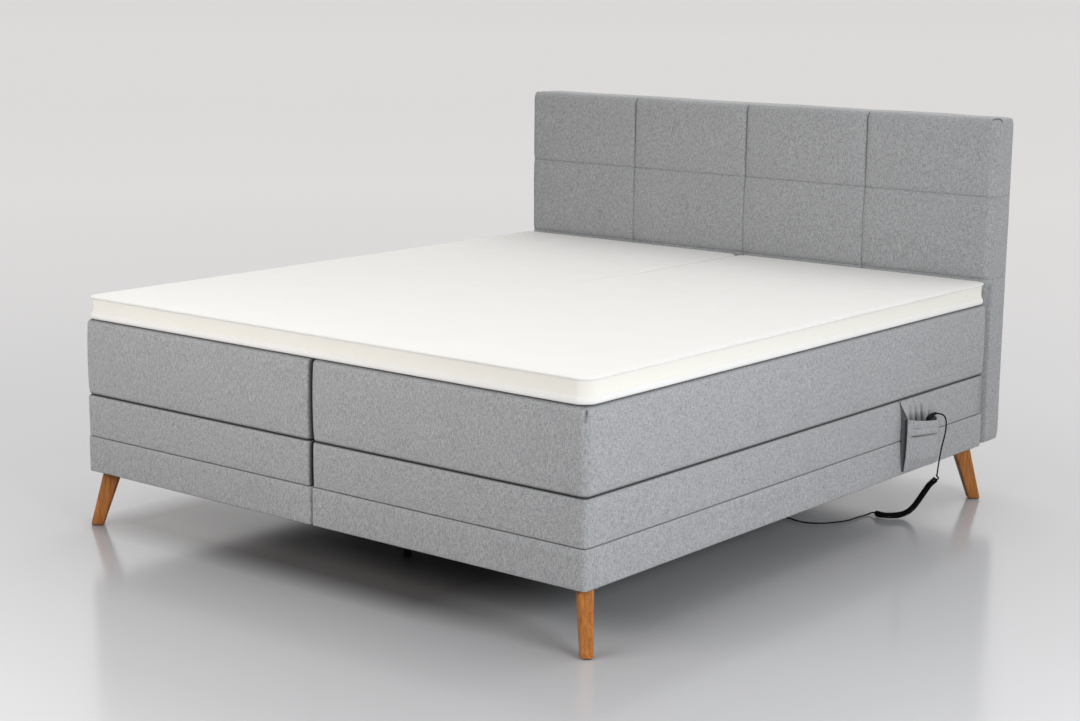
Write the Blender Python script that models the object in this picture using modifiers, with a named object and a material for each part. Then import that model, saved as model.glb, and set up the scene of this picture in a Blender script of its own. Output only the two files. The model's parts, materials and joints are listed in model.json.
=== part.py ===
"""Twin adjustable bed, 180 x 200 cm.

Two upholstered 90 cm bases stand side by side in front of one headboard. Each base is a fixed chassis and,
on it, a sprung lying surface in four sections: back, seat, thigh and calf. A dual drive in the chassis turns
a back tube and a leg tube, whose arms lift the sections from below. On the bases lie two mattresses and one
topper. The hand control hangs in a fabric pocket at the right side, on a curly cord.

X runs across the bed, +Y towards the head, +Z up, and the origin is on the floor under the bed's middle.
Left is -X and right is +X. Sizes are in metres, and angles in degrees.
"""

import math

import bmesh
import bpy
from mathutils import Matrix, Vector

# Overall sizes
BED_LENGTH = 2.000
SIDE_X = 0.900
HEADBOARD_GAP = 0.004
HEADBOARD_DEPTH = 0.110
FOOT_Y = -(BED_LENGTH + HEADBOARD_GAP + HEADBOARD_DEPTH) / 2
HEAD_Y = FOOT_Y + BED_LENGTH

# Heights above the floor
CHASSIS_BOTTOM = 0.165
CHASSIS_TOP = 0.265
SECTION_BOTTOM = 0.268
SECTION_TOP = 0.388
MATTRESS_BOTTOM = 0.390
MATTRESS_TOP = 0.607
TOPPER_BOTTOM = 0.6085
TOPPER_TOP = 0.678
HEADBOARD_TOP = 1.168
TOUCHING = 0.0003
TUBE_END = 0.0006
SHARP_FROM = 35

# The lying surface: its sections' lengths from the foot, the height of its hinges and its largest angles
CALF_LENGTH = 0.640
THIGH_LENGTH = 0.340
SEAT_LENGTH = 0.260
KNEE_Y = FOOT_Y + CALF_LENGTH
THIGH_Y = KNEE_Y + THIGH_LENGTH
BACK_Y = THIGH_Y + SEAT_LENGTH
HINGE_Z = 0.275
BACK_ANGLE = 50
THIGH_ANGLE = 30

# How far the upholstery's end faces lean away from a hinge, so that they clear each other at its largest angle
SEAT_HEAD_LEAN = 13.0
BACK_LEAN = 36.5
SEAT_FOOT_LEAN = 9.0
THIGH_LEAN = 20.5
SECTION_GAP = 0.004
MATTRESS_GAP = 0.002
FOLD_GAP = 0.001
MIDDLE_GAP = 0.0035
UPRIGHT_CORNER = 0.016
TOPPER_CORNER = 0.045

# Chassis boards
BOARD = 0.020
CHASSIS_CORNER = 0.010
GUSSET = 0.100
CHASSIS_MIDDLE_GAP = 0.0015

# Legs
LEG_FOOT_INSET = Vector((0.007, 0.020))
LEG_SPLAY = 0.036
LEG_TOP = (0.057, 0.044)
LEG_FOOT = (0.040, 0.034)
LEG_EDGE = 0.009
CENTRE_LEG_INSET = 0.370
JOINING_PLATE = Vector((0.120, 0.100, 0.004))

# Torque tubes: the axis is this far past its section's hinge, and this high
TUBE_OFFSET = 0.160
TUBE_Z = 0.232
TUBE_RADIUS = 0.015
TUBE_CLEARANCE = 0.0008
BACK_ARM = 0.190
LEG_ARM = 0.140
ARM_SPACING = 0.250
ROLLER_RADIUS = 0.010
ROLLER_GAP = 0.0008
LEVER = 0.050
LEVER_ROLLER = 0.008
BACK_SWEEP = 85.6
LEG_SWEEP = 64.2

# Dual drive
CASING_WIDTH = 0.150
CASING_PAST_TUBE = 0.053
CASING_BOTTOM = 0.168
CASING_TOP = 0.262
CASING_WALL = 0.004
CASING_CORNER = 0.030
NUT = Vector((0.060, 0.050, 0.020))
NUT_GAP = 0.0020
PLUG = Vector((0.498, 0.310, CASING_BOTTOM))

# Hand control pocket, on the right side's surface
POCKET_Y = (0.430, 0.645)
POCKET_X = (SIDE_X + 0.0005, SIDE_X + 0.0300)
POCKET_BOTTOM = 0.177
POCKET_WALL = 0.003
MOUTH_MIDDLE_Z = 0.3200
MOUTH_SLOPE = -0.1235

# Hand control
CONTROL_CENTRE = Vector((0.914, 0.5904, 0.2539))
CONTROL_TILT = 10
CONTROL_HALF = Vector((0.009, 0.023, 0.060))
ROCKER_HALF = Vector((0.003, 0.013, 0.017))
ROCKER_DEPTH = 0.0075
ROCKER_PLACES = {"back_rocker": 0.030, "leg_rocker": -0.010}

# Cord: a straight lead, a curly stretch and a lead on the floor, each point shared with the next stretch
CORD_DIAMETER = 0.0045
CURLY_DIAMETER = 0.0125
LEAD_ROUTE = [
    (0.9146, 0.6133, 0.3225),
    (0.9165, 0.6200, 0.3212),
    (0.9208, 0.6262, 0.3194),
    (0.9265, 0.6320, 0.3172),
    (0.9325, 0.6368, 0.3105),
    (0.9355, 0.6397, 0.2985),
    (0.9364, 0.6402, 0.2830),
    (0.9364, 0.6375, 0.2660),
    (0.9362, 0.6310, 0.2470),
    (0.9358, 0.6225, 0.2286),
    (0.9350, 0.6135, 0.1991),
    (0.9334, 0.6083, 0.1650),
    (0.9312, 0.6078, 0.1412),
]
CURLY_ROUTE = [
    (0.9312, 0.6078, 0.1412),
    (0.9297, 0.6072, 0.1290),
    (0.9225, 0.6033, 0.1195),
    (0.9120, 0.5985, 0.1075),
    (0.8930, 0.5935, 0.0745),
    (0.8720, 0.5870, 0.0380),
    (0.8540, 0.5780, 0.0150),
    (0.8390, 0.5610, 0.0076),
    (0.8230, 0.5400, 0.0068),
    (0.7970, 0.5275, 0.0068),
    (0.7650, 0.5385, 0.0070),
]
FLOOR_ROUTE = [
    (0.7650, 0.5385, 0.0070),
    (0.7572, 0.5411, 0.0064),
    (0.7522, 0.5370, 0.0045),
    (0.7492, 0.5220, 0.0026),
    (0.7450, 0.4917, 0.0025),
    (0.7400, 0.4309, 0.0025),
    (0.7220, 0.3880, 0.0025),
    (0.7003, 0.3549, 0.0025),
    (0.6709, 0.3320, 0.0025),
    (0.6386, 0.3259, 0.0025),
    (0.6051, 0.3335, 0.0025),
    (0.5740, 0.3400, 0.0025),
    (0.5450, 0.3390, 0.0027),
    (0.5220, 0.3300, 0.0070),
    (0.5070, 0.3190, 0.0210),
    (0.4995, 0.3125, 0.0450),
    (0.4980, 0.3100, 0.0800),
    (0.4980, 0.3100, 0.1215),
]

# Finishes: base colour, roughness, metallic
WOVEN = ((0.42, 0.44, 0.46), 0.9, 0.0)
KNITTED = ((0.88, 0.87, 0.83), 0.9, 0.0)
OAK = ((0.50, 0.29, 0.12), 0.5, 0.0)
PINE = ((0.62, 0.48, 0.32), 0.7, 0.0)
STEEL = ((0.35, 0.36, 0.38), 0.4, 1.0)
BLACK = ((0.02, 0.02, 0.02), 0.5, 0.0)
GREY_PLASTIC = ((0.12, 0.12, 0.13), 0.5, 0.0)

SIDES = {"left": -1, "right": 1}


def remove_everything():
    for obj in list(bpy.data.objects):
        bpy.data.objects.remove(obj, do_unlink=True)


def collection(name):
    made = bpy.data.collections.new(name)
    bpy.context.scene.collection.children.link(made)
    return made


def material(name, finish):
    colour, roughness, metallic = finish
    made = bpy.data.materials.new(name)
    made.use_nodes = True
    shader = made.node_tree.nodes["Principled BSDF"]
    shader.inputs["Base Color"].default_value = (*colour, 1)
    shader.inputs["Roughness"].default_value = roughness
    shader.inputs["Metallic"].default_value = metallic
    return made


def place(obj, finish):
    """Puts an object among the parts with its own material, or among the cutters if it has no finish."""
    if finish is None:
        CUTTERS.objects.link(obj)
        obj.hide_render = True
        obj.display_type = "WIRE"
    else:
        PARTS.objects.link(obj)
        obj.data.materials.append(material(obj.name + "_finish", finish))
    return obj


def mesh_object(name, bm, finish=None):
    """An object from a bmesh in world space, with its origin in the middle of its box."""
    bm.normal_update()
    bmesh.ops.recalc_face_normals(bm, faces=bm.faces)
    low = Vector([min(v.co[i] for v in bm.verts) for i in range(3)])
    high = Vector([max(v.co[i] for v in bm.verts) for i in range(3)])
    centre = (low + high) / 2
    bmesh.ops.translate(bm, verts=bm.verts, vec=-centre)
    mesh = bpy.data.meshes.new(name)
    bm.to_mesh(mesh)
    bm.free()
    mesh.shade_smooth()
    mesh.set_sharp_from_angle(angle=math.radians(SHARP_FROM))
    obj = bpy.data.objects.new(name, mesh)
    obj.location = centre
    return place(obj, finish)


def box(name, low, high, finish=None, frame=None):
    """A cuboid between two corners, in world space or in a frame's own axes."""
    low, high = Vector(low), Vector(high)
    bm = bmesh.new()
    bmesh.ops.create_cube(bm, size=1)
    bmesh.ops.scale(bm, verts=bm.verts, vec=high - low)
    bmesh.ops.translate(bm, verts=bm.verts, vec=(low + high) / 2)
    if frame is not None:
        bm.transform(frame)
    return mesh_object(name, bm, finish)


def rod(name, start, end, radius, sides, finish=None):
    start, end = Vector(start), Vector(end)
    bm = bmesh.new()
    bmesh.ops.create_cone(
        bm,
        cap_ends=True,
        segments=sides,
        radius1=radius,
        radius2=radius,
        depth=(end - start).length,
    )
    turn = (end - start).to_track_quat("Z", "Y").to_matrix().to_4x4()
    bm.transform(Matrix.Translation((start + end) / 2) @ turn)
    return mesh_object(name, bm, finish)


def bar(name, start, end, thickness, height, finish=None):
    """A flat bar in a plane across the bed: thickness is along X, and height is square to its length."""
    start, end = Vector(start), Vector(end)
    along = (end - start).normalized()
    across = Vector((1, 0, 0))
    turn = Matrix((across, along.cross(across), along)).transposed().to_4x4()
    frame = Matrix.Translation(start) @ turn
    low = (-thickness / 2, -height / 2, 0)
    return box(name, low, (thickness / 2, height / 2, (end - start).length), finish, frame)


def turned(name, profile, location, finish, steps=20):
    """A turned shape from (radius, height) points that run down its outer side."""
    mesh = bpy.data.meshes.new(name)
    edges = [(n, n + 1) for n in range(len(profile) - 1)]
    mesh.from_pydata([(r, 0, z) for r, z in profile], edges, [])
    obj = bpy.data.objects.new(name, mesh)
    obj.location = location
    screw = obj.modifiers.new("turn", "SCREW")
    screw.steps = steps
    screw.render_steps = steps
    screw.use_merge_vertices = True
    screw.merge_threshold = 0.00001
    screw.use_smooth_shade = False
    return place(obj, finish)


def rectangle(low, high, corner, steps):
    """A rectangle's outline with its corners rounded in so many steps; one step cuts them straight."""
    (x0, y0), (x1, y1) = low, high
    centres = [
        (x1 - corner, y1 - corner),
        (x0 + corner, y1 - corner),
        (x0 + corner, y0 + corner),
        (x1 - corner, y0 + corner),
    ]
    points = []
    for quarter, (x, y) in enumerate(centres):
        for k in range(steps + 1):
            angle = math.radians(90 * (quarter + k / steps))
            points.append((x + corner * math.cos(angle), y + corner * math.sin(angle)))
    return points


def plate(name, outlines, bottom, top, finish=None):
    """A level plate between two heights: the first outline is its edge, and the others are holes."""
    curve = bpy.data.curves.new(name, "CURVE")
    curve.dimensions = "2D"
    curve.fill_mode = "BOTH"
    curve.extrude = (top - bottom) / 2
    for outline in outlines:
        spline = curve.splines.new("POLY")
        spline.points.add(len(outline) - 1)
        for point, (x, y) in zip(spline.points, outline):
            point.co = (x, y, 0, 1)
        spline.use_cyclic_u = True
    guide = bpy.data.objects.new(name + "_outline", curve)
    CUTTERS.objects.link(guide)
    shown = guide.evaluated_get(bpy.context.evaluated_depsgraph_get())
    shape = bpy.data.meshes.new_from_object(shown)
    bpy.data.objects.remove(guide)
    bm = bmesh.new()
    bm.from_mesh(shape)
    bmesh.ops.remove_doubles(bm, verts=bm.verts, dist=0.00001)
    bmesh.ops.translate(bm, verts=bm.verts, vec=(0, 0, (top + bottom) / 2))
    return mesh_object(name, bm, finish)


def smooth_route(points, spacing):
    """Points at about one spacing along the smooth curve through a route's points."""
    points = [Vector(p) for p in points]
    ends = [2 * points[0] - points[1], *points, 2 * points[-1] - points[-2]]
    fine = []
    for a, b, c, d in zip(ends, ends[1:], ends[2:], ends[3:]):
        for k in range(20):
            t = k / 20
            fine.append(
                0.5 * (2 * b + (c - a) * t + (2 * a - 5 * b + 4 * c - d) * t**2)
                + 0.5 * (3 * b - 3 * c + d - a) * t**3
            )
    fine.append(points[-1])
    total = sum((q - p).length for p, q in zip(fine, fine[1:]))
    count = max(2, round(total / spacing))
    route, walked = [fine[0]], 0.0
    for p, q in zip(fine, fine[1:]):
        step = (q - p).length
        while len(route) < count and walked + step >= total * len(route) / count:
            share = (total * len(route) / count - walked) / step
            route.append(p.lerp(q, share))
        walked += step
    return [*route, fine[-1]]


def tube(name, route, diameter, spacing, finish, sides=2):
    """A round tube along a route, stopping just short of both its ends."""
    line = smooth_route(route, spacing)
    line[0] += (line[1] - line[0]).normalized() * TUBE_END
    line[-1] += (line[-2] - line[-1]).normalized() * TUBE_END
    curve = bpy.data.curves.new(name, "CURVE")
    curve.dimensions = "3D"
    curve.bevel_depth = diameter / 2
    curve.bevel_resolution = sides
    curve.use_fill_caps = True
    spline = curve.splines.new("POLY")
    spline.points.add(len(line) - 1)
    for point, co in zip(spline.points, line):
        point.co = (*co, 1)
    return place(bpy.data.objects.new(name, curve), finish)


def boolean(obj, operation, others):
    for other in others:
        modifier = obj.modifiers.new(other.name, "BOOLEAN")
        modifier.operation = operation
        modifier.solver = "EXACT"
        modifier.object = other
    return obj


def bevel(obj, width, segments):
    modifier = obj.modifiers.new("rounded", "BEVEL")
    modifier.width = width
    modifier.segments = segments
    modifier.limit_method = "ANGLE"
    return obj


def pivot(name, location, above=None):
    """An empty on a joint's axis, which the pieces that turn about it are parented to."""
    empty = bpy.data.objects.new(name, None)
    PARTS.objects.link(empty)
    PIVOT_PLACES[name] = Vector(location)
    empty.location = location
    if above is not None:
        empty.parent = above
        empty.location = Vector(location) - PIVOT_PLACES[above.name]
    return empty


def hang(obj, on):
    """Parents a piece to a pivot and leaves it where it is."""
    obj.parent = on
    obj.matrix_parent_inverse = Matrix.Translation(-PIVOT_PLACES[on.name])
    return obj


def leaning(y, lean=0.0):
    """An end face of the upholstery: its place at the sections' underside, and its slope towards the head."""
    return y, math.tan(math.radians(lean))


def soft_block(name, across, height, ends, finish, corner=UPRIGHT_CORNER):
    """Upholstery between two end faces. Its upright corners are rounded at the bed's own foot and head."""
    bm = bmesh.new()
    bmesh.ops.create_cube(bm, size=2)
    for v in bm.verts:
        x, z = across[v.co.x > 0], height[v.co.z > 0]
        y, slope = ends[v.co.y > 0]
        v.co = (x, y + slope * (z - SECTION_BOTTOM), z)
    bm.normal_update()
    upright = [
        e
        for e in bm.edges
        if abs(e.verts[0].co.z - e.verts[1].co.z) > TOUCHING
        and min(abs(e.verts[0].co.y - y) for y in (FOOT_Y, HEAD_Y)) < TOUCHING
    ]
    if upright:
        bmesh.ops.bevel(
            bm,
            geom=upright,
            offset=corner,
            offset_type="OFFSET",
            segments=3,
            profile=0.5,
            affect="EDGES",
        )
    return mesh_object(name, bm, finish)


def section_ends(gap):
    """Both end faces of each section's upholstery, with so much room at each hinge."""
    return {
        "calf": (leaning(FOOT_Y), leaning(KNEE_Y - gap)),
        "thigh": (leaning(KNEE_Y + gap), leaning(THIGH_Y - gap, -THIGH_LEAN)),
        "seat": (leaning(THIGH_Y + gap, SEAT_FOOT_LEAN), leaning(BACK_Y - gap, -SEAT_HEAD_LEAN)),
        "back": (leaning(BACK_Y + gap, BACK_LEAN), leaning(HEAD_Y)),
    }


def fold_ends():
    """The end faces of the wedges of mattress that fold in at the back and thigh hinges."""
    room = MATTRESS_GAP - FOLD_GAP
    return {
        "thigh_fold": (leaning(THIGH_Y - room, -THIGH_LEAN), leaning(THIGH_Y + room, SEAT_FOOT_LEAN)),
        "back_fold": (leaning(BACK_Y - room, -SEAT_HEAD_LEAN), leaning(BACK_Y + room, BACK_LEAN)),
    }


def across(side, gap=MIDDLE_GAP):
    """From the bed's middle to its side, in rising X."""
    return sorted((SIDES[side] * gap, SIDES[side] * SIDE_X))


def make_sections(side, pivots):
    """The sprung upholstered sections of one base; the seat lies on the chassis."""
    for part, ends in section_ends(SECTION_GAP).items():
        bottom = CHASSIS_TOP + TOUCHING if part == "seat" else SECTION_BOTTOM
        height = (bottom, SECTION_TOP)
        piece = soft_block(f"{part}_section_{side}", across(side), height, ends, WOVEN)
        if part != "seat":
            hang(piece, pivots[part, side])


def make_mattress(side, pivots):
    height = (MATTRESS_BOTTOM, MATTRESS_TOP)
    for part, ends in section_ends(MATTRESS_GAP).items():
        piece = soft_block(f"mattress_{part}_{side}", across(side), height, ends, WOVEN)
        if part != "seat":
            hang(piece, pivots[part, side])
    for part, ends in fold_ends().items():
        soft_block(f"mattress_{part}_{side}", across(side), height, ends, WOVEN)


def make_topper(pivots):
    """One topper over both mattresses. Only its head half is split, so that the backs lift one by one."""
    height = (TOPPER_BOTTOM, TOPPER_TOP)
    ends = section_ends(MATTRESS_GAP)
    whole = (-SIDE_X, SIDE_X)
    (_, thigh_head), (back_foot, _) = ends["thigh"], ends["back"]
    middle = tuple(
        (y + way * 2 * MATTRESS_GAP, slope) for (y, slope), way in ((thigh_head, 1), (back_foot, -1))
    )
    soft_block("topper_seat", whole, height, middle, KNITTED)
    thigh = soft_block("topper_thigh", whole, height, ends["thigh"], KNITTED)
    calf = soft_block("topper_calf", whole, height, ends["calf"], KNITTED, TOPPER_CORNER)
    hang(thigh, pivots["thigh", "left"])
    hang(calf, pivots["calf", "left"])
    for side in SIDES:
        back = soft_block(f"topper_back_{side}", across(side), height, ends["back"], KNITTED)
        hang(back, pivots["back", side])


def tube_y(part):
    return BACK_Y + TUBE_OFFSET if part == "back" else THIGH_Y - TUBE_OFFSET


def make_chassis(side):
    """The fixed frame of one base: boards on edge with a gusset in each corner, bored for the torque tubes."""
    x0, x1 = across(side, CHASSIS_MIDDLE_GAP)
    outer = rectangle((x0, FOOT_Y), (x1, HEAD_Y), CHASSIS_CORNER, 3)
    low = (x0 + BOARD, FOOT_Y + BOARD)
    high = (x1 - BOARD, HEAD_Y - BOARD)
    inner = rectangle(low, high, GUSSET, 1)
    frame = plate(f"chassis_{side}", [outer, inner], CHASSIS_BOTTOM, CHASSIS_TOP, PINE)
    bores = []
    for part in ("back", "leg"):
        start = (x0 - BOARD, tube_y(part), TUBE_Z)
        end = (x1 + BOARD, tube_y(part), TUBE_Z)
        radius = TUBE_RADIUS + TUBE_CLEARANCE
        bores.append(rod(f"{part}_bore_{side}", start, end, radius, 20))
    return boolean(frame, "DIFFERENCE", bores)


def make_corner_leg(end, side):
    """A tapered oak leg that splays outwards along the corner's diagonal."""
    sx, sy = SIDES[side], (-1 if end == "foot" else 1)
    end_y = FOOT_Y if end == "foot" else HEAD_Y
    outwards = Vector((sx, sy)).normalized()
    sideways = Vector((-outwards.y, outwards.x))
    foot = Vector((sx * (SIDE_X - LEG_FOOT_INSET.x), end_y - sy * LEG_FOOT_INSET.y))
    top = foot - Vector((sx, sy)) * LEG_SPLAY
    bm = bmesh.new()
    bmesh.ops.create_cube(bm, size=1)
    for v in bm.verts:
        upper = v.co.z > 0
        (deep, wide), centre = (LEG_TOP, top) if upper else (LEG_FOOT, foot)
        xy = centre + outwards * v.co.x * deep + sideways * v.co.y * wide
        v.co = (*xy, CHASSIS_BOTTOM - TOUCHING if upper else 0.0)
    bm.normal_update()
    long_edges = [e for e in bm.edges if abs(e.verts[0].co.z - e.verts[1].co.z) > 0.1]
    bmesh.ops.bevel(
        bm,
        geom=long_edges,
        offset=LEG_EDGE,
        offset_type="OFFSET",
        segments=3,
        profile=0.5,
        affect="EDGES",
    )
    return mesh_object(f"leg_{end}_{side}", bm, OAK)


def make_centre_leg(end):
    """A slim black leg under both bases' inner boards, and the steel plate that it carries them with."""
    y = FOOT_Y + CENTRE_LEG_INSET if end == "foot" else HEAD_Y - CENTRE_LEG_INSET
    top = CHASSIS_BOTTOM - TOUCHING
    half = JOINING_PLATE / 2
    low = (-half.x, y - half.y, top - JOINING_PLATE.z)
    box(f"joining_plate_{end}", low, (half.x, y + half.y, top), STEEL)
    shoulder = top - JOINING_PLATE.z - TOUCHING
    profile = [
        (0, shoulder),
        (0.020, shoulder),
        (0.020, shoulder - 0.006),
        (0.0125, shoulder - 0.008),
        (0.0125, 0.012),
        (0.0140, 0.010),
        (0.0140, 0.002),
        (0.0120, 0),
        (0, 0),
    ]
    turned(f"centre_leg_{end}", profile, (0, y, 0), BLACK)


def make_headboard():
    front = HEAD_Y + HEADBOARD_GAP
    back = front + HEADBOARD_DEPTH
    board_front = back - 0.022
    low = (-SIDE_X, front, CHASSIS_BOTTOM)
    pad = box("headboard_pad", low, (SIDE_X, board_front - TOUCHING, HEADBOARD_TOP), WOVEN)
    bevel(pad, 0.020, 3)
    low = (-SIDE_X + 0.006, board_front, CHASSIS_BOTTOM + 0.006)
    box("headboard_board", low, (SIDE_X - 0.006, back, HEADBOARD_TOP - 0.006), PINE)


def arm_angle(length):
    """How far a lift arm rises above level at rest, with its roller just under its section."""
    rise = SECTION_BOTTOM - ROLLER_GAP - ROLLER_RADIUS - TUBE_Z
    return math.asin(rise / length)


def make_torque_tube(part, side):
    """A torque tube across one base, with two lift arms that end in rollers, and the lever that turns it."""
    toward, length, sweep = (1, BACK_ARM, BACK_SWEEP) if part == "back" else (-1, LEG_ARM, LEG_SWEEP)
    y = tube_y(part)
    x0, x1 = across(side, CHASSIS_MIDDLE_GAP)
    inside = 0.006
    name = f"{part}_torque_tube_{side}"
    shaft = rod(name, (x0 + inside, y, TUBE_Z), (x1 - inside, y, TUBE_Z), TUBE_RADIUS, 20, STEEL)
    middle = (x0 + x1) / 2
    rise = arm_angle(length)
    pieces = []
    for n, x in enumerate((middle - ARM_SPACING, middle + ARM_SPACING)):
        axis = Vector((x, y, TUBE_Z))
        tip = axis + length * Vector((0, toward * math.cos(rise), math.sin(rise)))
        half = Vector((0.008, 0, 0))
        pieces.append(bar(f"{name}_arm_{n}", axis, tip, 0.006, 0.018))
        pieces.append(rod(f"{name}_roller_{n}", tip - half, tip + half, ROLLER_RADIUS, 12))
    axis = Vector((middle, y, TUBE_Z))
    lean = math.radians(sweep / 2)
    tip = axis + LEVER * Vector((0, -toward * math.sin(lean), -math.cos(lean)))
    half = Vector((0.010, 0, 0))
    pieces.append(bar(f"{name}_lever", axis, tip, 0.012, 0.012))
    pieces.append(rod(f"{name}_lever_roller", tip - half, tip + half, LEVER_ROLLER, 12))
    boolean(shaft, "UNION", pieces)
    return hang(shaft, pivot(f"{name}_pivot", (middle, y, TUBE_Z)))


def make_thrust_nut(part, side):
    """The nut that a gear motor's spindle drives along the casing's floor, against the tube's lever."""
    toward, sweep = (1, BACK_SWEEP) if part == "back" else (-1, LEG_SWEEP)
    middle = sum(across(side, CHASSIS_MIDDLE_GAP)) / 2
    reach = LEVER * math.sin(math.radians(sweep / 2)) + LEVER_ROLLER + NUT_GAP
    face = tube_y(part) - toward * reach
    floor = CASING_BOTTOM + CASING_WALL + TOUCHING
    y0, y1 = sorted((face, face - toward * NUT.y))
    low = (middle - NUT.x / 2, y0, floor)
    high = (middle + NUT.x / 2, y1, floor + NUT.z)
    return bevel(box(f"{part}_thrust_nut_{side}", low, high, GREY_PLASTIC), 0.002, 1)


def make_drive(side):
    """The dual drive's casing, an open tray that both torque tubes pass through, and its lid."""
    middle = sum(across(side, CHASSIS_MIDDLE_GAP)) / 2
    y0, y1 = tube_y("leg") - CASING_PAST_TUBE, tube_y("back") + CASING_PAST_TUBE
    half = CASING_WIDTH / 2
    inner = half - CASING_WALL
    outside = rectangle((middle - half, y0), (middle + half, y1), CASING_CORNER, 4)
    inside = rectangle(
        (middle - inner, y0 + CASING_WALL),
        (middle + inner, y1 - CASING_WALL),
        CASING_CORNER - CASING_WALL,
        4,
    )
    casing = plate(f"drive_casing_{side}", [outside], CASING_BOTTOM, CASING_TOP, GREY_PLASTIC)
    above = CASING_TOP + 0.01
    cutters = [plate(f"drive_hollow_{side}", [inside], CASING_BOTTOM + CASING_WALL, above)]
    radius = TUBE_RADIUS + TUBE_CLEARANCE
    for part in ("back", "leg"):
        y = tube_y(part)
        x0, x1 = middle - CASING_WIDTH, middle + CASING_WIDTH
        seat = rod(f"{part}_seat_{side}", (x0, y, TUBE_Z), (x1, y, TUBE_Z), radius, 20)
        slot = box(f"{part}_slot_{side}", (x0, y - radius, TUBE_Z), (x1, y + radius, above))
        cutters += [seat, slot]
    if side == "right":
        up = Vector((0, 0, 0.01))
        cutters.append(rod("plug_socket", PLUG - up, PLUG + up, 0.0035, 16))
    boolean(casing, "DIFFERENCE", cutters)
    lid_bottom = CASING_TOP + TOUCHING
    plate(f"drive_lid_{side}", [outside], lid_bottom, lid_bottom + 0.0022, GREY_PLASTIC)


def make_pocket(on):
    """A fabric pocket that hangs from the back section's top edge, open at its slanted mouth."""
    (x0, x1), (y0, y1) = POCKET_X, POCKET_Y
    pocket = box("control_pocket", (x0, y0, POCKET_BOTTOM), (x1, y1, SECTION_TOP), WOVEN)
    inner_x = x0 + POCKET_WALL
    hollow = box(
        "pocket_hollow",
        (inner_x, y0 + POCKET_WALL, POCKET_BOTTOM + POCKET_WALL),
        (x1 - POCKET_WALL, y1 - POCKET_WALL, SECTION_TOP + 0.05),
    )
    bm = bmesh.new()
    bmesh.ops.create_cube(bm, size=2)
    middle = (y0 + y1) / 2
    for v in bm.verts:
        y = middle + v.co.y * (y1 - y0)
        mouth = MOUTH_MIDDLE_Z + MOUTH_SLOPE * (y - middle)
        v.co = (x1 + 0.05 if v.co.x > 0 else inner_x, y, SECTION_TOP + 0.06 if v.co.z > 0 else mouth)
    above_mouth = mesh_object("pocket_above_mouth", bm)
    boolean(pocket, "DIFFERENCE", [hollow, above_mouth])
    return hang(pocket, on)


def make_hand_control(on):
    """Two shells with a pair of rocker keys in the front one, and the strain relief at the upper end."""
    frame = Matrix.Translation(CONTROL_CENTRE) @ Matrix.Rotation(math.radians(CONTROL_TILT), 4, "X")
    deep, wide, long = CONTROL_HALF
    seam = 0.0002
    back = box("control_back_shell", (-deep, -wide, -long), (-seam, wide, long), GREY_PLASTIC, frame)
    front = box("control_front_shell", (seam, -wide, -long), (deep, wide, long), GREY_PLASTIC, frame)
    key_x, key_y, key_z = ROCKER_HALF
    room = 0.0006
    wells = []
    for name, z in ROCKER_PLACES.items():
        low = (ROCKER_DEPTH - key_x, -key_y, z - key_z)
        high = (ROCKER_DEPTH + key_x, key_y, z + key_z)
        key = bevel(box(name, low, high, BLACK, frame), 0.0012, 2)
        axle = pivot(f"{name}_pivot", frame @ Vector((ROCKER_DEPTH, 0, z)), on)
        hang(key, axle)
        low = (ROCKER_DEPTH - key_x - 0.0018, -key_y - room, z - key_z - room)
        high = (deep + 0.01, key_y + room, z + key_z + room)
        wells.append(box(f"{name}_well", low, high, None, frame))
    boolean(bevel(front, 0.003, 2), "DIFFERENCE", wells)
    hang(front, on)
    hang(bevel(back, 0.003, 2), on)
    start = frame @ Vector((0, 0.012, long))
    exit_point = Vector(LEAD_ROUTE[0])
    route = [
        start,
        start + Vector((0, -0.0003, 0.0040)),
        start + Vector((0, 0.0030, 0.0080)),
        start + Vector((0.0002, 0.0095, 0.0098)),
        exit_point + Vector((-0.0003, -0.0055, 0.0018)),
        exit_point,
    ]
    hang(tube("strain_relief", route, 0.0070, 0.0035, BLACK), on)


def make_cord(on):
    """The cord's three stretches, and the plug under the right drive that it ends in."""
    spacing = 0.0125
    hang(tube("handset_lead", LEAD_ROUTE, CORD_DIAMETER, spacing, BLACK), on)
    tube("curly_cord", CURLY_ROUTE, CURLY_DIAMETER, 0.018, BLACK, 3)
    tube("floor_lead", FLOOR_ROUTE, CORD_DIAMETER, spacing, BLACK)
    profile = [
        (0, 0.0070),
        (0.0030, 0.0070),
        (0.0030, -TOUCHING),
        (0.0065, -TOUCHING),
        (0.0065, -0.0260),
        (0.0045, -0.0300),
        (0.0030, -0.0460),
        (0, -0.0460),
    ]
    turned("plug", profile, PLUG, BLACK, 16)


def make_bed():
    pivots = {}
    for side, way in SIDES.items():
        x = way * SIDE_X / 2
        pivots["back", side] = pivot(f"back_{side}_pivot", (x, BACK_Y, HINGE_Z))
        thigh = pivot(f"thigh_{side}_pivot", (x, THIGH_Y, HINGE_Z))
        pivots["thigh", side] = thigh
        pivots["calf", side] = pivot(f"calf_{side}_pivot", (x, KNEE_Y, HINGE_Z), thigh)
    for side in SIDES:
        make_chassis(side)
        make_sections(side, pivots)
        make_mattress(side, pivots)
        make_drive(side)
        for part in ("back", "leg"):
            make_torque_tube(part, side)
            make_thrust_nut(part, side)
        for end in ("foot", "head"):
            make_corner_leg(end, side)
    make_topper(pivots)
    for end in ("foot", "head"):
        make_centre_leg(end)
    make_headboard()
    make_pocket(pivots["back", "right"])
    make_hand_control(pivots["back", "right"])
    make_cord(pivots["back", "right"])


remove_everything()
PARTS = collection("adjustable_bed")
CUTTERS = collection("cutters")
PIVOT_PLACES = {}
make_bed()
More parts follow.
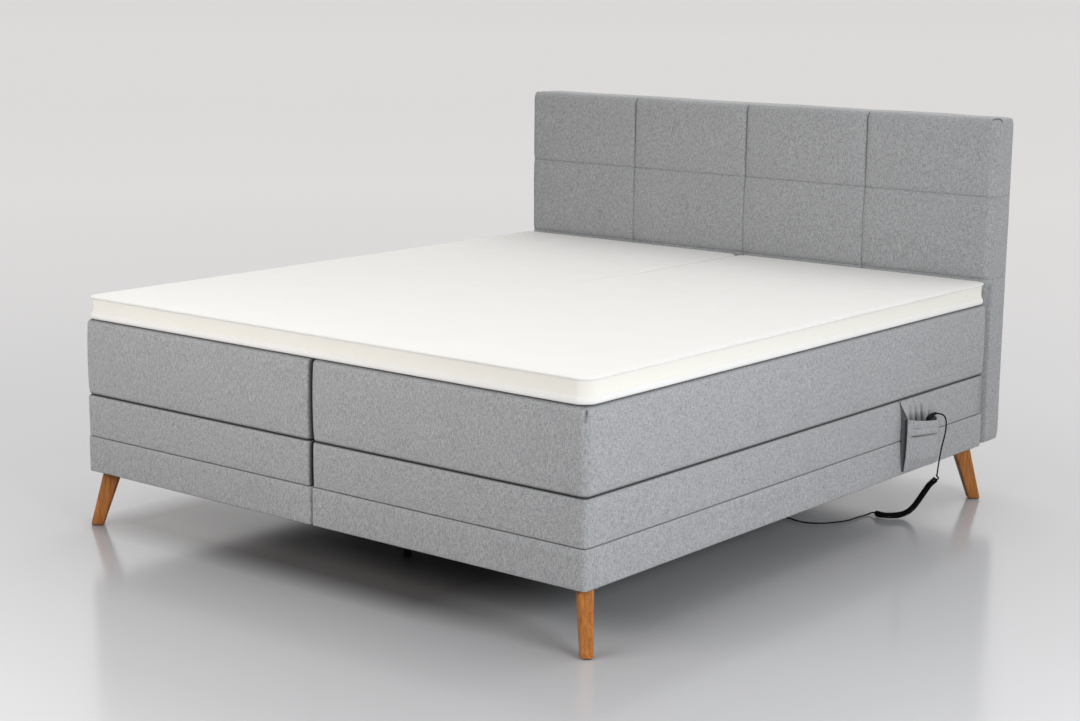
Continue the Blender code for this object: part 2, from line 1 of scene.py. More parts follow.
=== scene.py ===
"""The look of the twin adjustable bed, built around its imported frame.

Metres. +X is to the right, +Y to the head end and +Z up.
"""

import json
import math
from collections import Counter

import bmesh
import bpy
import numpy as np
from mathutils import Matrix, Vector, noise


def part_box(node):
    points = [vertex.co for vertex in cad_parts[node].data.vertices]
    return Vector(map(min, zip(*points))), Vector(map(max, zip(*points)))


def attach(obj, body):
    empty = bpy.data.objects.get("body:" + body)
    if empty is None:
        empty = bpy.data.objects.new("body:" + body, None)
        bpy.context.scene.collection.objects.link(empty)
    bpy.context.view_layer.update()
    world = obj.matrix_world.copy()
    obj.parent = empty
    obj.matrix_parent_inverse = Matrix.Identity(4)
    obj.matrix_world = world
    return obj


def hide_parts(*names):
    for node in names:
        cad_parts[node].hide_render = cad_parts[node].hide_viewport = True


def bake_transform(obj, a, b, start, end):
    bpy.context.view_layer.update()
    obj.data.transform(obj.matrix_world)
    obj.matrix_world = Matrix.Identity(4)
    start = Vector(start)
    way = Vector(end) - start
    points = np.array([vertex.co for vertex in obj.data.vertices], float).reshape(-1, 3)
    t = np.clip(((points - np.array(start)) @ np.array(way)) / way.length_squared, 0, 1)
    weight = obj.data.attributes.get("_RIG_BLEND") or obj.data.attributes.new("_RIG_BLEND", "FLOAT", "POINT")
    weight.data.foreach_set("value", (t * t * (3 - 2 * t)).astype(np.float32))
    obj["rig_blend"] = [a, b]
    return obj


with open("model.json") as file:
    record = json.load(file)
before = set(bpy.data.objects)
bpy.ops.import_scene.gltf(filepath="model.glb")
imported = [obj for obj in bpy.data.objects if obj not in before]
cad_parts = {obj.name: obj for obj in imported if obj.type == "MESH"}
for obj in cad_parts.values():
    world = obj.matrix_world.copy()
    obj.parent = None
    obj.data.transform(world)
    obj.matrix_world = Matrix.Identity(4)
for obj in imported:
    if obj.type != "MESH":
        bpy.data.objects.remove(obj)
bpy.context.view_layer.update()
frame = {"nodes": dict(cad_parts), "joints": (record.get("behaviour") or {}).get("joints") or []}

# ---- camera

CAMERA_AT = (3.678, -4.688, 1.597)
CAMERA_TURN, CAMERA_DOWN, CAMERA_ROLL = 38.79, 10.90, 0.61
CAMERA_LENS = 67.9


def make_camera():
    data = bpy.data.cameras.new("camera")
    data.lens = CAMERA_LENS
    data.sensor_width = 36
    camera = bpy.data.objects.new("camera", data)
    bpy.context.scene.collection.objects.link(camera)
    turn, down, roll = (math.radians(a) for a in (CAMERA_TURN, CAMERA_DOWN, CAMERA_ROLL))
    back = Vector((math.sin(turn) * math.cos(down), -math.cos(turn) * math.cos(down), math.sin(down)))
    right = Vector((math.cos(turn), math.sin(turn), 0))
    up = back.cross(right)
    tilted_right = math.cos(roll) * right + math.sin(roll) * up
    tilted_up = math.cos(roll) * up - math.sin(roll) * right
    rotation = Matrix((tilted_right, tilted_up, back)).transposed()
    camera.matrix_world = Matrix.Translation(CAMERA_AT) @ rotation.to_4x4()
    bpy.context.scene.camera = camera


make_camera()

# ---- meshes


def new_object(name, points, faces, sharp_angle=None):
    """A smooth mesh object. Its points at rest are kept as an attribute, which the cloth's pattern reads."""
    mesh = bpy.data.meshes.new(name)
    mesh.from_pydata([tuple(map(float, p)) for p in points], [], [tuple(f) for f in faces])
    mesh.validate(clean_customdata=False)
    bm = bmesh.new()
    bm.from_mesh(mesh)
    bm.normal_update()
    bmesh.ops.recalc_face_normals(bm, faces=bm.faces)
    bm.to_mesh(mesh)
    bm.free()
    mesh.shade_smooth()
    if sharp_angle is not None:
        mesh.set_sharp_from_angle(angle=math.radians(sharp_angle))
    made = bpy.data.objects.new(name, mesh)
    bpy.context.scene.collection.objects.link(made)
    rest = mesh.attributes.new("rest", "FLOAT_VECTOR", "POINT")
    rest.data.foreach_set("vector", points_of(made).astype(np.float32).ravel())
    return made


def point_values(piece, name, values):
    attribute = piece.data.attributes.get(name) or piece.data.attributes.new(name, "FLOAT", "POINT")
    attribute.data.foreach_set("value", np.asarray(values, np.float32))


def points_of(piece):
    flat = np.zeros(len(piece.data.vertices) * 3, np.float32)
    piece.data.vertices.foreach_get("co", flat)
    return flat.reshape(-1, 3).astype(float)


def eased(t):
    """0 to 1, with a soft start and a soft end."""
    t = np.clip(t, 0, 1)
    return t * t * (3 - 2 * t)


def walked_along(line):
    """How far along a line each of its points is."""
    return np.concatenate([[0], np.cumsum(np.linalg.norm(np.diff(line, axis=0), axis=1))])


def smooth_route(points, spacing):
    """Points at about one spacing along the smooth curve through a route's points."""
    points = [Vector(p) for p in points]
    ends = [2 * points[0] - points[1], *points, 2 * points[-1] - points[-2]]
    fine = []
    for a, b, c, d in zip(ends, ends[1:], ends[2:], ends[3:]):
        for k in range(20):
            t = k / 20
            fine.append(
                0.5 * (2 * b + (c - a) * t + (2 * a - 5 * b + 4 * c - d) * t**2)
                + 0.5 * (3 * b - 3 * c + d - a) * t**3
            )
    fine.append(points[-1])
    fine = np.array([tuple(p) for p in fine])
    walked = walked_along(fine)
    at = np.linspace(0, walked[-1], max(2, round(walked[-1] / spacing)) + 1)
    return np.stack([np.interp(at, walked, fine[:, k]) for k in range(3)], axis=1)


def frames_along(line):
    """Two directions square to a line at each of its points, which turn with it and don't twist."""
    line = np.asarray(line, float)
    ahead = np.gradient(line, axis=0)
    ahead /= np.linalg.norm(ahead, axis=1)[:, None]
    side = np.cross(ahead[0], (0, 0, 1) if abs(ahead[0][2]) < 0.9 else (1, 0, 0))
    sides = []
    for t in ahead:
        side = side - t * (side @ t)
        side /= np.linalg.norm(side)
        sides.append(side.copy())
    return np.array(sides), np.cross(ahead, sides)


def ring_faces(rings, count):
    """The faces between closed rings of points that follow each other."""
    faces = []
    for k in range(rings - 1):
        for n in range(count):
            m = (n + 1) % count
            faces.append((k * count + n, k * count + m, (k + 1) * count + m, (k + 1) * count + n))
    return faces


def loft(name, sections, sharp_angle=50):
    """A closed form through sections with the same number of points."""
    count, last = len(sections[0]), len(sections) - 1
    points = [p for section in sections for p in section]
    faces = ring_faces(len(sections), count)
    faces.append(tuple(range(count)))
    faces.append(tuple(last * count + n for n in range(count)))
    return new_object(name, points, faces, sharp_angle)


def tube_mesh(name, line, radii, around):
    """A capped tube along a line. radii is one number or one for each point."""
    line = np.asarray(line, float)
    radii = np.full(len(line), radii) if np.isscalar(radii) else np.asarray(radii, float)
    side, up = frames_along(line)
    angles = np.linspace(0, 2 * math.pi, around, endpoint=False)
    ring = side[:, None, :] * np.cos(angles)[None, :, None] + up[:, None, :] * np.sin(angles)[None, :, None]
    return loft(name, line[:, None, :] + ring * radii[:, None, None], sharp_angle=60)


# ---- the cord

CORD_DIAMETER = 0.0045
COIL_RADIUS = 0.0070
COIL_PITCH = 0.0048
COIL_OPENING = 0.015
COIL_AXIS_SPACING = 0.0005
POINTS_PER_TURN = 16
LEAD_SPACING, FLOOR_SPACING = 0.004, 0.006
CORD_SIDES = 8
LEAD_ROUTE = [
    (0.9146, 0.6133, 0.3225),
    (0.9165, 0.6200, 0.3212),
    (0.9208, 0.6262, 0.3194),
    (0.9265, 0.6320, 0.3172),
    (0.9325, 0.6368, 0.3105),
    (0.9355, 0.6397, 0.2985),
    (0.9364, 0.6402, 0.2830),
    (0.9364, 0.6375, 0.2660),
    (0.9362, 0.6310, 0.2470),
    (0.9358, 0.6225, 0.2286),
    (0.9350, 0.6135, 0.1991),
    (0.9334, 0.6083, 0.1650),
    (0.9312, 0.6078, 0.1412),
]
CURLY_ROUTE = [
    (0.9312, 0.6078, 0.1412),
    (0.9297, 0.6072, 0.1290),
    (0.9225, 0.6033, 0.1195),
    (0.9120, 0.5985, 0.1075),
    (0.8930, 0.5935, 0.0745),
    (0.8720, 0.5870, 0.0385),
    (0.8540, 0.5780, 0.0180),
    (0.8390, 0.5610, 0.0108),
    (0.8230, 0.5400, 0.0098),
    (0.7970, 0.5275, 0.0098),
    (0.7650, 0.5385, 0.0088),
]
FLOOR_ROUTE = [
    (0.7650, 0.5385, 0.0088),
    (0.7572, 0.5411, 0.0072),
    (0.7522, 0.5370, 0.0045),
    (0.7492, 0.5220, 0.0026),
    (0.7450, 0.4917, 0.0025),
    (0.7400, 0.4309, 0.0025),
    (0.7220, 0.3880, 0.0025),
    (0.7003, 0.3549, 0.0025),
    (0.6709, 0.3320, 0.0025),
    (0.6386, 0.3259, 0.0025),
    (0.6051, 0.3335, 0.0025),
    (0.5740, 0.3400, 0.0025),
    (0.5450, 0.3390, 0.0027),
    (0.5220, 0.3300, 0.0070),
    (0.5070, 0.3190, 0.0210),
    (0.4995, 0.3125, 0.0450),
    (0.4980, 0.3100, 0.0800),
    (0.4980, 0.3100, 0.1215),
]


def coil_line(route):
    """A helix round the curly stretch's axis, which opens out of the cord at one end and closes again."""
    axis = smooth_route(route, COIL_AXIS_SPACING)
    walked = walked_along(axis)
    side, up = frames_along(axis)
    at = np.linspace(0, walked[-1], round(walked[-1] / COIL_PITCH) * POINTS_PER_TURN + 1)
    end = np.minimum(at, walked[-1] - at)
    radius = COIL_RADIUS * eased(end / COIL_OPENING)
    # The first and last turn are drawn out, as the cord can't bend tighter than in the coil.
    drawn = 1 - np.clip((end - 0.8 * COIL_OPENING) / (0.3 * COIL_OPENING), 0, 1)
    pitch = COIL_PITCH + (COIL_OPENING - COIL_PITCH) * drawn
    angle = 2 * math.pi * np.cumsum(np.append(0, np.diff(at) / pitch[1:]))
    centre, s, u = (
        np.stack([np.interp(at, walked, rows[:, k]) for k in range(3)], axis=1) for rows in (axis, side, up)
    )
    return centre + radius[:, None] * (s * np.cos(angle)[:, None] + u * np.sin(angle)[:, None])


def make_cord():
    lead = smooth_route(LEAD_ROUTE, LEAD_SPACING)
    coil = coil_line(CURLY_ROUTE)
    fine = np.concatenate([lead[:-1], coil, smooth_route(FLOOR_ROUTE, FLOOR_SPACING)[1:]])
    cord = tube_mesh("hand_control_cord", fine, CORD_DIAMETER / 2, CORD_SIDES)
    walked = walked_along(fine)
    lead_length, coil_length = walked_along(lead)[-1], walked_along(coil)[-1]
    # It hangs from the pocket, and its curly part gives way as the back section lifts the pocket.
    start, end = 0.12 * lead_length, lead_length + 0.9 * coil_length
    weights = np.repeat(np.clip((walked - start) / (end - start), 0, 1), CORD_SIDES)
    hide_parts("handset_lead", "curly_cord", "floor_lead")
    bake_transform(cord, "back_right", "bed", start=tuple(fine[0]), end=tuple(fine[-1]))
    point_values(cord, "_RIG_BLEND", weights)
    return cord


CORD = make_cord()

# ---- materials


class Tree:
    """The nodes of a material or of the world, added with few words."""

    def __init__(self, owner):
        owner.use_nodes = True
        self.nodes, self.links = owner.node_tree.nodes, owner.node_tree.links

    def add(self, kind, **settings):
        made = self.nodes.new(kind)
        for key, value in settings.items():
            setattr(made, key, value)
        return made

    def link(self, out, into):
        self.links.new(out, into)

    def attribute(self, name, output="Vector"):
        return self.add("ShaderNodeAttribute", attribute_name=name).outputs[output]

    def place(self, output="Object"):
        return self.add("ShaderNodeTexCoord").outputs[output]

    def split(self, vector):
        made = self.add("ShaderNodeSeparateXYZ")
        self.link(vector, made.inputs["Vector"])
        return made.outputs

    def along(self, vector, direction):
        """How far a vector goes in a direction."""
        made = self.add("ShaderNodeVectorMath", operation="DOT_PRODUCT")
        made.inputs[1].default_value = direction
        self.link(vector, made.inputs[0])
        return made.outputs["Value"]

    def scaled(self, vector, scale, move=(0, 0, 0)):
        """scale is one number, or one for each axis."""
        made = self.add("ShaderNodeMapping")
        made.inputs["Scale"].default_value = (scale,) * 3 if isinstance(scale, (int, float)) else scale
        made.inputs["Location"].default_value = move
        self.link(vector, made.inputs["Vector"])
        return made.outputs["Vector"]

    def noise(self, vector, scale=1.0, detail=2.0, roughness=0.5, distortion=0.0):
        made = self.add("ShaderNodeTexNoise")
        made.inputs["Scale"].default_value = scale
        made.inputs["Detail"].default_value = detail
        made.inputs["Roughness"].default_value = roughness
        made.inputs["Distortion"].default_value = distortion
        self.link(vector, made.inputs["Vector"])
        return made.outputs["Fac"]

    def times(self, a, b):
        return self.maths("MULTIPLY", a, b)

    def plus(self, a, b):
        return self.maths("ADD", a, b)

    def maths(self, operation, a, b):
        made = self.add("ShaderNodeMath", operation=operation)
        for socket, value in zip(made.inputs, (a, b)):
            if isinstance(value, (int, float)):
                socket.default_value = value
            else:
                self.link(value, socket)
        return made.outputs[0]

    def ramp(self, value, stops):
        made = self.add("ShaderNodeValToRGB")
        elements = made.color_ramp.elements
        while len(elements) < len(stops):
            elements.new(0.5)
        for element, (place, colour) in zip(elements, stops):
            element.position = place
            element.color = (*colour, 1)
        self.link(value, made.inputs["Fac"])
        return made.outputs["Color"]

    def span(self, value, low, high, to_low=0.0, to_high=1.0):
        made = self.add("ShaderNodeMapRange")
        for socket, number in zip(list(made.inputs)[1:5], (low, high, to_low, to_high)):
            socket.default_value = number
        self.link(value, made.inputs["Value"])
        return made.outputs["Result"]

    def mix(self, share, a, b):
        made = self.add("ShaderNodeMix", data_type="RGBA")
        for socket, value in zip((made.inputs[0], made.inputs[6], made.inputs[7]), (share, a, b)):
            if isinstance(value, (int, float)):
                socket.default_value = value
            elif isinstance(value, tuple):
                socket.default_value = (*value, 1)
            else:
                self.link(value, socket)
        return made.outputs[2]


SHADER_INPUTS = {
    "metallic": "Metallic",
    "specular": "Specular IOR Level",
    "sheen": "Sheen Weight",
    "sheen_roughness": "Sheen Roughness",
}


class Finish(Tree):
    """A material, with its nodes round its principled shader."""

    def __init__(self, name, roughness, **settings):
        self.material = bpy.data.materials.new(name)
        super().__init__(self.material)
        self.shader = self.nodes["Principled BSDF"]
        self.shader.inputs["Base Color"].default_value = (0.5, 0.5, 0.5, 1)
        self.shader.inputs["Roughness"].default_value = roughness
        for key, value in settings.items():
            self.shader.inputs[SHADER_INPUTS[key]].default_value = value

    def colour(self, value):
        self.link(value, self.shader.inputs["Base Color"])

    def rough(self, value):
        self.link(value, self.shader.inputs["Roughness"])

    def bump(self, height, distance, strength):
        made = self.add("ShaderNodeBump")
        made.inputs["Strength"].default_value = strength
        made.inputs["Distance"].default_value = distance
        self.link(height, made.inputs["Height"])
        self.link(made.outputs["Normal"], self.shader.inputs["Normal"])


def brighter(colour, times):
    return tuple(min(1.0, c * times) for c in colour)


def woven(name, dark, light):
    """Melange upholstery cloth: short light and dark yarns that run level and upright, and a fine weave."""
    t = Finish(name, roughness=0.92, sheen=0.18, sheen_roughness=0.45)
    rest = t.attribute("rest")
    warp = t.noise(t.scaled(rest, (540, 540, 95)), detail=2.0, roughness=0.6)
    weft = t.noise(t.scaled(rest, (120, 120, 540), (7.3, 2.1, 4.4)), detail=2.0, roughness=0.6)
    fleck = t.noise(t.scaled(rest, 430, (1.7, 9.2, 3.3)), detail=2.0, roughness=0.6)
    yarns = t.plus(t.times(warp, 0.44), t.times(weft, 0.38))
    mixed = t.plus(yarns, t.times(fleck, 0.18))
    stops = [(0.30, brighter(dark, 0.86)), (0.43, dark), (0.57, light), (0.70, brighter(light, 1.12))]
    colour = t.ramp(mixed, stops)
    drift = t.span(t.noise(t.scaled(rest, 5), detail=3.0), 0.3, 0.7, 0.0, 0.075)
    colour = t.mix(drift, colour, brighter(dark, 0.8))
    # Painted shade: each point's darkness attribute darkens the cloth in gaps, seam grooves and folds, where
    # little light reaches.
    crease = t.attribute("crease", "Fac")
    colour = t.mix(t.times(crease, 0.93), colour, brighter(dark, 0.10))
    t.colour(colour)
    weave = t.noise(t.scaled(rest, 900), detail=1.0, roughness=0.7)
    t.bump(t.plus(t.times(t.plus(warp, weft), 0.6), t.times(weave, 0.35)), 0.0011, 0.55)
    return t.material


def knitted(name, colour, shade):
    """White stretch cloth with a fine knit."""
    t = Finish(name, roughness=0.88, sheen=0.12)
    rest = t.attribute("rest")
    stitches = t.noise(t.scaled(rest, (700, 420, 700)), detail=1.5, roughness=0.6)
    cloudy = t.noise(t.scaled(rest, 9), detail=3.0, roughness=0.6)
    tone = t.mix(t.span(cloudy, 0.3, 0.75, 0.0, 0.35), colour, shade)
    # Painted shade: each point's darkness attribute darkens the knit where little light reaches.
    crease = t.attribute("crease", "Fac")
    tone = t.mix(t.times(crease, 0.6), tone, brighter(shade, 0.62))
    t.colour(t.mix(t.span(stitches, 0.35, 0.65, 0.0, 0.10), tone, brighter(shade, 0.9)))
    t.bump(t.plus(t.times(stitches, 0.5), cloudy), 0.0012, 0.4)
    return t.material


def lining(name, colour, own=False):
    """Thin non-woven dust cloth."""
    t = Finish(name, roughness=0.95, specular=0.2)
    rest = t.place() if own else t.attribute("rest")
    fibres = t.noise(t.scaled(rest, 260), detail=4.0, roughness=0.7, distortion=1.5)
    t.colour(t.ramp(fibres, [(0.35, brighter(colour, 0.6)), (0.65, brighter(colour, 1.5))]))
    t.bump(fibres, 0.0006, 0.5)
    return t.material


def timber(name, dark, light, roughness=0.45):
    """Plain sawn timber: upright grain lines, with a few darker growth bands."""
    t = Finish(name, roughness)
    rest = t.attribute("rest")
    upright = (2.2 * 14, 2.2 * 14, 2.2)
    bands = t.noise(t.scaled(rest, upright), scale=5.0, detail=4.0, roughness=0.55, distortion=0.6)
    fibres = t.noise(t.scaled(rest, tuple(22 * c for c in upright)), detail=3.0, roughness=0.7)
    grain = t.plus(t.times(bands, 0.68), t.times(fibres, 0.32))
    middle = tuple((a + b) / 2 for a, b in zip(dark, light))
    t.colour(t.ramp(grain, [(0.34, dark), (0.48, middle), (0.62, light), (0.72, brighter(light, 1.06))]))
    t.rough(t.span(grain, 0.35, 0.65, roughness - 0.07, roughness + 0.12))
    t.bump(grain, 0.0007, 0.35)
    return t.material


def moulded(name, colour, roughness=0.45, grain=1400, specular=0.5):
    """Moulded plastic or rubber with a fine grain."""
    t = Finish(name, roughness, specular=specular)
    place = t.place()
    fine = t.noise(t.scaled(place, grain), detail=2.0)
    worn = t.noise(t.scaled(place, 35), detail=4.0, roughness=0.6)
    t.colour(t.ramp(worn, [(0.35, brighter(colour, 0.85)), (0.7, brighter(colour, 1.35))]))
    t.rough(t.span(worn, 0.3, 0.7, roughness - 0.06, roughness + 0.08))
    t.bump(fine, 0.0002, 0.3)
    return t.material


def zinc(name, colour, roughness=0.38):
    """Zinc plated steel, slightly cloudy, with fine drawing marks across the bed."""
    t = Finish(name, roughness, metallic=1.0)
    place = t.place()
    cloudy = t.noise(t.scaled(place, 24), detail=4.0, roughness=0.65)
    drawn = t.noise(t.scaled(place, (18, 900, 900)), detail=2.0)
    t.colour(t.ramp(cloudy, [(0.3, brighter(colour, 0.78)), (0.7, brighter(colour, 1.2))]))
    t.rough(t.span(t.plus(cloudy, drawn), 0.8, 1.2, roughness - 0.08, roughness + 0.12))
    t.bump(drawn, 0.0002, 0.25)
    return t.material


CLOTH_DARK, CLOTH_LIGHT = (0.278, 0.281, 0.287), (0.455, 0.459, 0.466)
CLOTH = woven("grey_melange_cloth", CLOTH_DARK, CLOTH_LIGHT)
WHITE_KNIT = knitted("white_knit", (0.86, 0.85, 0.83), (0.80, 0.78, 0.74))
CREAM_BORDER = knitted("cream_border", (0.87, 0.845, 0.775), (0.84, 0.81, 0.73))
DUST_CLOTH = lining("black_dust_cloth", (0.022, 0.022, 0.024))
OAK = timber("oiled_oak", (0.27, 0.083, 0.016), (0.54, 0.208, 0.050))
BLACK_PLASTIC = moulded("black_plastic", (0.011, 0.011, 0.012), 0.42, specular=0.3)
CABLE_SHEATH = moulded("cable_sheath", (0.006, 0.006, 0.007), 0.62, grain=2600, specular=0.15)
GREY_PLASTIC = moulded("grey_plastic", (0.07, 0.072, 0.076), 0.5)
STEEL = zinc("zinc_plated_steel", (0.55, 0.56, 0.58))
BLACK_PAINT = moulded("black_paint", (0.015, 0.015, 0.016), 0.33, grain=900)
FELT = lining("grey_felt", (0.12, 0.115, 0.11))
LINED_BOARD = lining("lined_board", (0.030, 0.026, 0.023), own=True)


def dress(piece, *materials):
    """Gives a piece its materials. Its faces keep the slots that they were made with."""
    slots = [polygon.material_index for polygon in piece.data.polygons]
    piece.data.materials.clear()
    for material in materials:
        piece.data.materials.append(material)
    for polygon, slot in zip(piece.data.polygons, slots):
        polygon.material_index = min(slot, len(materials) - 1)


dress(CORD, CABLE_SHEATH)

# ---- soft blocks


def even(low, high, step):
    """Evenly spaced stations, no further apart than one step."""
    return list(np.linspace(low, high, max(1, math.ceil((high - low) / step - 1e-6)) + 1))


def places(marks, step, fine=()):
    """Stations from the first mark to the last, through every mark, and closer in the fine ranges."""
    marks = sorted(set(round(m, 6) for m in marks))
    found = []
    for a, b in zip(marks, marks[1:]):
        near = [s for low, high, s in fine if low - 1e-6 <= a and b <= high + 1e-6]
        found += even(a, b, min([step, *near]))[:-1]
    return np.array([*found, marks[-1]])


def arc(inset, z, radius, start, end, steps):
    """Profile points round a quarter arc, given by its centre's inset and height."""
    angles = np.radians(np.linspace(start, end, steps + 1))
    return [(inset - radius * math.cos(a), z + radius * math.sin(a)) for a in angles]


def past_straight(value, low, high, radius):
    """Which round end a station is in (0 is neither), where that end begins, and how far in it is."""
    if value < low + radius:
        return -1, low + radius, low + radius - value
    if value > high - radius:
        return 1, high - radius, value - high + radius
    return 0, value, 0.0


class Block:
    """A closed soft form over a rectangle with round corners: a bottom, sides with a profile, and a top.

    The profile runs from the bottom's edge up to the top's edge, as (inset, height). slack, if given, is a
    function of y that takes the profile off the inner side where two halves are still one piece (0) and puts
    it on where they part (1). Each point's level and each face's part is its number in the profile, with -1
    for the bottom and the profile's length for the top.
    """

    def __init__(self, xs, ys, corner, profile, slack=None, inner=0, roundness=1.0):
        self.xs, self.ys, self.corner, self.profile = xs, ys, corner, profile
        self.slack, self.inner, self.roundness = slack, inner, roundness
        self.points, self.level = [], []
        self.faces, self.parts, self.rows = [], [], []
        self.ring = self.outline()
        loops = [[self.add_point(i, j, *edge, k) for i, j in self.ring] for k, edge in enumerate(profile)]
        for k, (low, high) in enumerate(zip(loops, loops[1:])):
            for n in range(len(self.ring)):
                m = (n + 1) % len(self.ring)
                row = min(self.ring[n][1], self.ring[m][1], len(ys) - 2)
                self.add_face((low[n], low[m], high[m], high[n]), k, row)
        self.add_cover(loops[0], profile[0], -1)
        self.add_cover(loops[-1], profile[-1], len(profile))
        self.points, self.level, self.rows = np.array(self.points), np.array(self.level), np.array(self.rows)

    def outline(self):
        nx, ny = len(self.xs) - 1, len(self.ys) - 1
        ring = [(i, 0) for i in range(nx)] + [(nx, j) for j in range(ny)]
        return ring + [(i, ny) for i in range(nx, 0, -1)] + [(0, j) for j in range(ny, 0, -1)]

    def place(self, i, j, inset):
        side_x, from_x, u = past_straight(self.xs[i], self.xs[0], self.xs[-1], self.corner)
        side_y, from_y, v = past_straight(self.ys[j], self.ys[0], self.ys[-1], self.corner)
        r = self.corner
        give = self.slack(self.ys[j]) if self.slack and side_x == self.inner else 1.0
        ku, kv = (r - inset * give) / r, (r - inset) / r
        if u > 0 and v > 0:
            # Keeps the stations' even spacing round the corner.
            turn = (v / u if v <= u else 2 - u / v) * math.pi / 4
            reach = max(u, v) * kv * self.roundness
            square = 1 - self.roundness
            u = reach * math.cos(turn) + square * u * kv
            v = reach * math.sin(turn) + square * v * kv
        else:
            u, v = u * ku, v * kv
        return from_x + side_x * u, from_y + side_y * v

    def add_point(self, i, j, inset, z, level):
        x, y = self.place(i, j, inset)
        self.points.append((x, y, z))
        self.level.append(level)
        return len(self.points) - 1

    def add_face(self, corners, part, row):
        self.faces.append(corners)
        self.parts.append(part)
        self.rows.append(row)

    def add_cover(self, loop, edge, part):
        index = {ij: loop[n] for n, ij in enumerate(self.ring)}
        for j in range(1, len(self.ys) - 1):
            for i in range(1, len(self.xs) - 1):
                index[i, j] = self.add_point(i, j, *edge, part)
        for j in range(len(self.ys) - 1):
            for i in range(len(self.xs) - 1):
                self.add_face((index[i, j], index[i + 1, j], index[i + 1, j + 1], index[i, j + 1]), part, j)

    def normals(self):
        """Each point's normal, out of the block."""
        quads = np.array(self.faces)
        a, b, c, d = (self.points[quads[:, k]] for k in range(4))
        across = np.cross(c - a, d - b)
        total = np.zeros_like(self.points)
        for k in range(4):
            np.add.at(total, quads[:, k], across)
        total /= np.maximum(np.linalg.norm(total, axis=1), 1e-12)[:, None]
        top = self.level == len(self.profile)
        bottom = self.level == -1
        total[top] *= np.where(total[top][:, 2:] < 0, -1, 1)
        total[bottom] *= np.where(total[bottom][:, 2:] > 0, -1, 1)
        side = ~(top | bottom)
        middle = (self.points.max(0) + self.points.min(0)) / 2
        outwards = self.points - middle
        half = (self.points.max(0) - self.points.min(0)) / 2
        outwards = np.where(np.abs(outwards) > 0.8 * half - 0.05, outwards, 0)
        wrong = side & (np.einsum("ij,ij->i", total, outwards / half) < 0)
        total[wrong] *= -1
        return total

    def piece(self, name, low=None, high=None, parts=None):
        """The stretch between two stations, closed at its cuts. parts gives a part's material index."""
        ys = self.ys
        j0 = 0 if low is None else int(np.argmin(np.abs(ys - low)))
        j1 = len(ys) - 1 if high is None else int(np.argmin(np.abs(ys - high)))
        chosen = np.flatnonzero((self.rows >= j0) & (self.rows < j1))
        faces = [self.faces[n] for n in chosen]
        used = sorted(set(i for f in faces for i in f))
        new = {old: n for n, old in enumerate(used)}
        faces = [tuple(new[i] for i in f) for f in faces]
        indices = [parts(self.parts[n]) if parts else 0 for n in chosen]
        counted = Counter((min(a, b), max(a, b)) for f in faces for a, b in zip(f, f[1:] + f[:1]))
        open_edges = [edge for edge, n in counted.items() if n == 1]
        for loop in loops_of(open_edges):
            faces.append(tuple(loop))
            indices.append(0)
        made = new_object(name, self.points[used], faces)
        for polygon, index in zip(made.data.polygons, indices):
            polygon.material_index = index
        sharpen(made, set(open_edges))
        return made, np.array(used)


def loops_of(edges):
    """Closed loops of point numbers that a set of open edges makes."""
    near = {}
    for a, b in edges:
        near.setdefault(a, []).append(b)
        near.setdefault(b, []).append(a)
    loops, left = [], set(near)
    while left:
        start = min(left)
        loop, last, here = [start], None, start
        while True:
            left.discard(here)
            ahead = [n for n in near[here] if n != last]
            last, here = here, ahead[0]
            if here == start:
                break
            loop.append(here)
        loops.append(loop)
    return loops


def sharpen(piece, edges):
    """Marks the edges of a cut sharp, so that shading runs straight over it to the next piece."""
    mesh = piece.data
    sharp = mesh.attributes.get("sharp_edge") or mesh.attributes.new("sharp_edge", "BOOLEAN", "EDGE")
    for edge in mesh.edges:
        if (min(edge.vertices), max(edge.vertices)) in edges:
            sharp.data[edge.index].value = True


def wander(points, scale, seed):
    """Smooth noise at each point, from -1 to 1."""
    return np.array([noise.noise(Vector(p) * scale + Vector((seed, seed * 0.7, -seed))) for p in points])


FOOT_Y, HEAD_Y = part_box("chassis_right")[0].y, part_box("chassis_right")[1].y
JOINTS = {j["name"]: j for j in frame["joints"]}
KNEE_Y = JOINTS["calf_right_hinge"]["pos_m"][1]
THIGH_Y = JOINTS["thigh_right_hinge"]["pos_m"][1]
BACK_Y = JOINTS["back_right_hinge"]["pos_m"][1]
SECTION_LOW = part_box("back_section_right")[0].z
SECTION_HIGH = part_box("back_section_right")[1].z
MATTRESS_LOW, MATTRESS_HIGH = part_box("mattress_back_right")[0].z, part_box("mattress_back_right")[1].z
TOPPER_LOW, TOPPER_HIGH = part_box("topper_back_right")[0].z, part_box("topper_back_right")[1].z
SEAT_CUT = (THIGH_Y + BACK_Y) / 2
THIGH_CUT = (KNEE_Y + THIGH_Y) / 2
SIDE_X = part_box("back_section_right")[1].x
# Where the upholstery's bend round each hinge starts and where it ends, each at the base's underside and at
# the mattress's top. It is longer higher up, because the cloth and foam there have further to give.
BENDS = {
    "back": ((BACK_Y - 0.030, SEAT_CUT), (BACK_Y + 0.030, BACK_Y + 0.407)),
    "thigh": ((THIGH_Y + 0.030, SEAT_CUT), (THIGH_Y - 0.030, THIGH_CUT)),
    "calf": ((KNEE_Y + 0.020, THIGH_CUT), (KNEE_Y - 0.020, KNEE_Y - 0.183)),
}
BENT_FROM, BENT_TO = KNEE_Y - 0.19, BACK_Y + 0.42


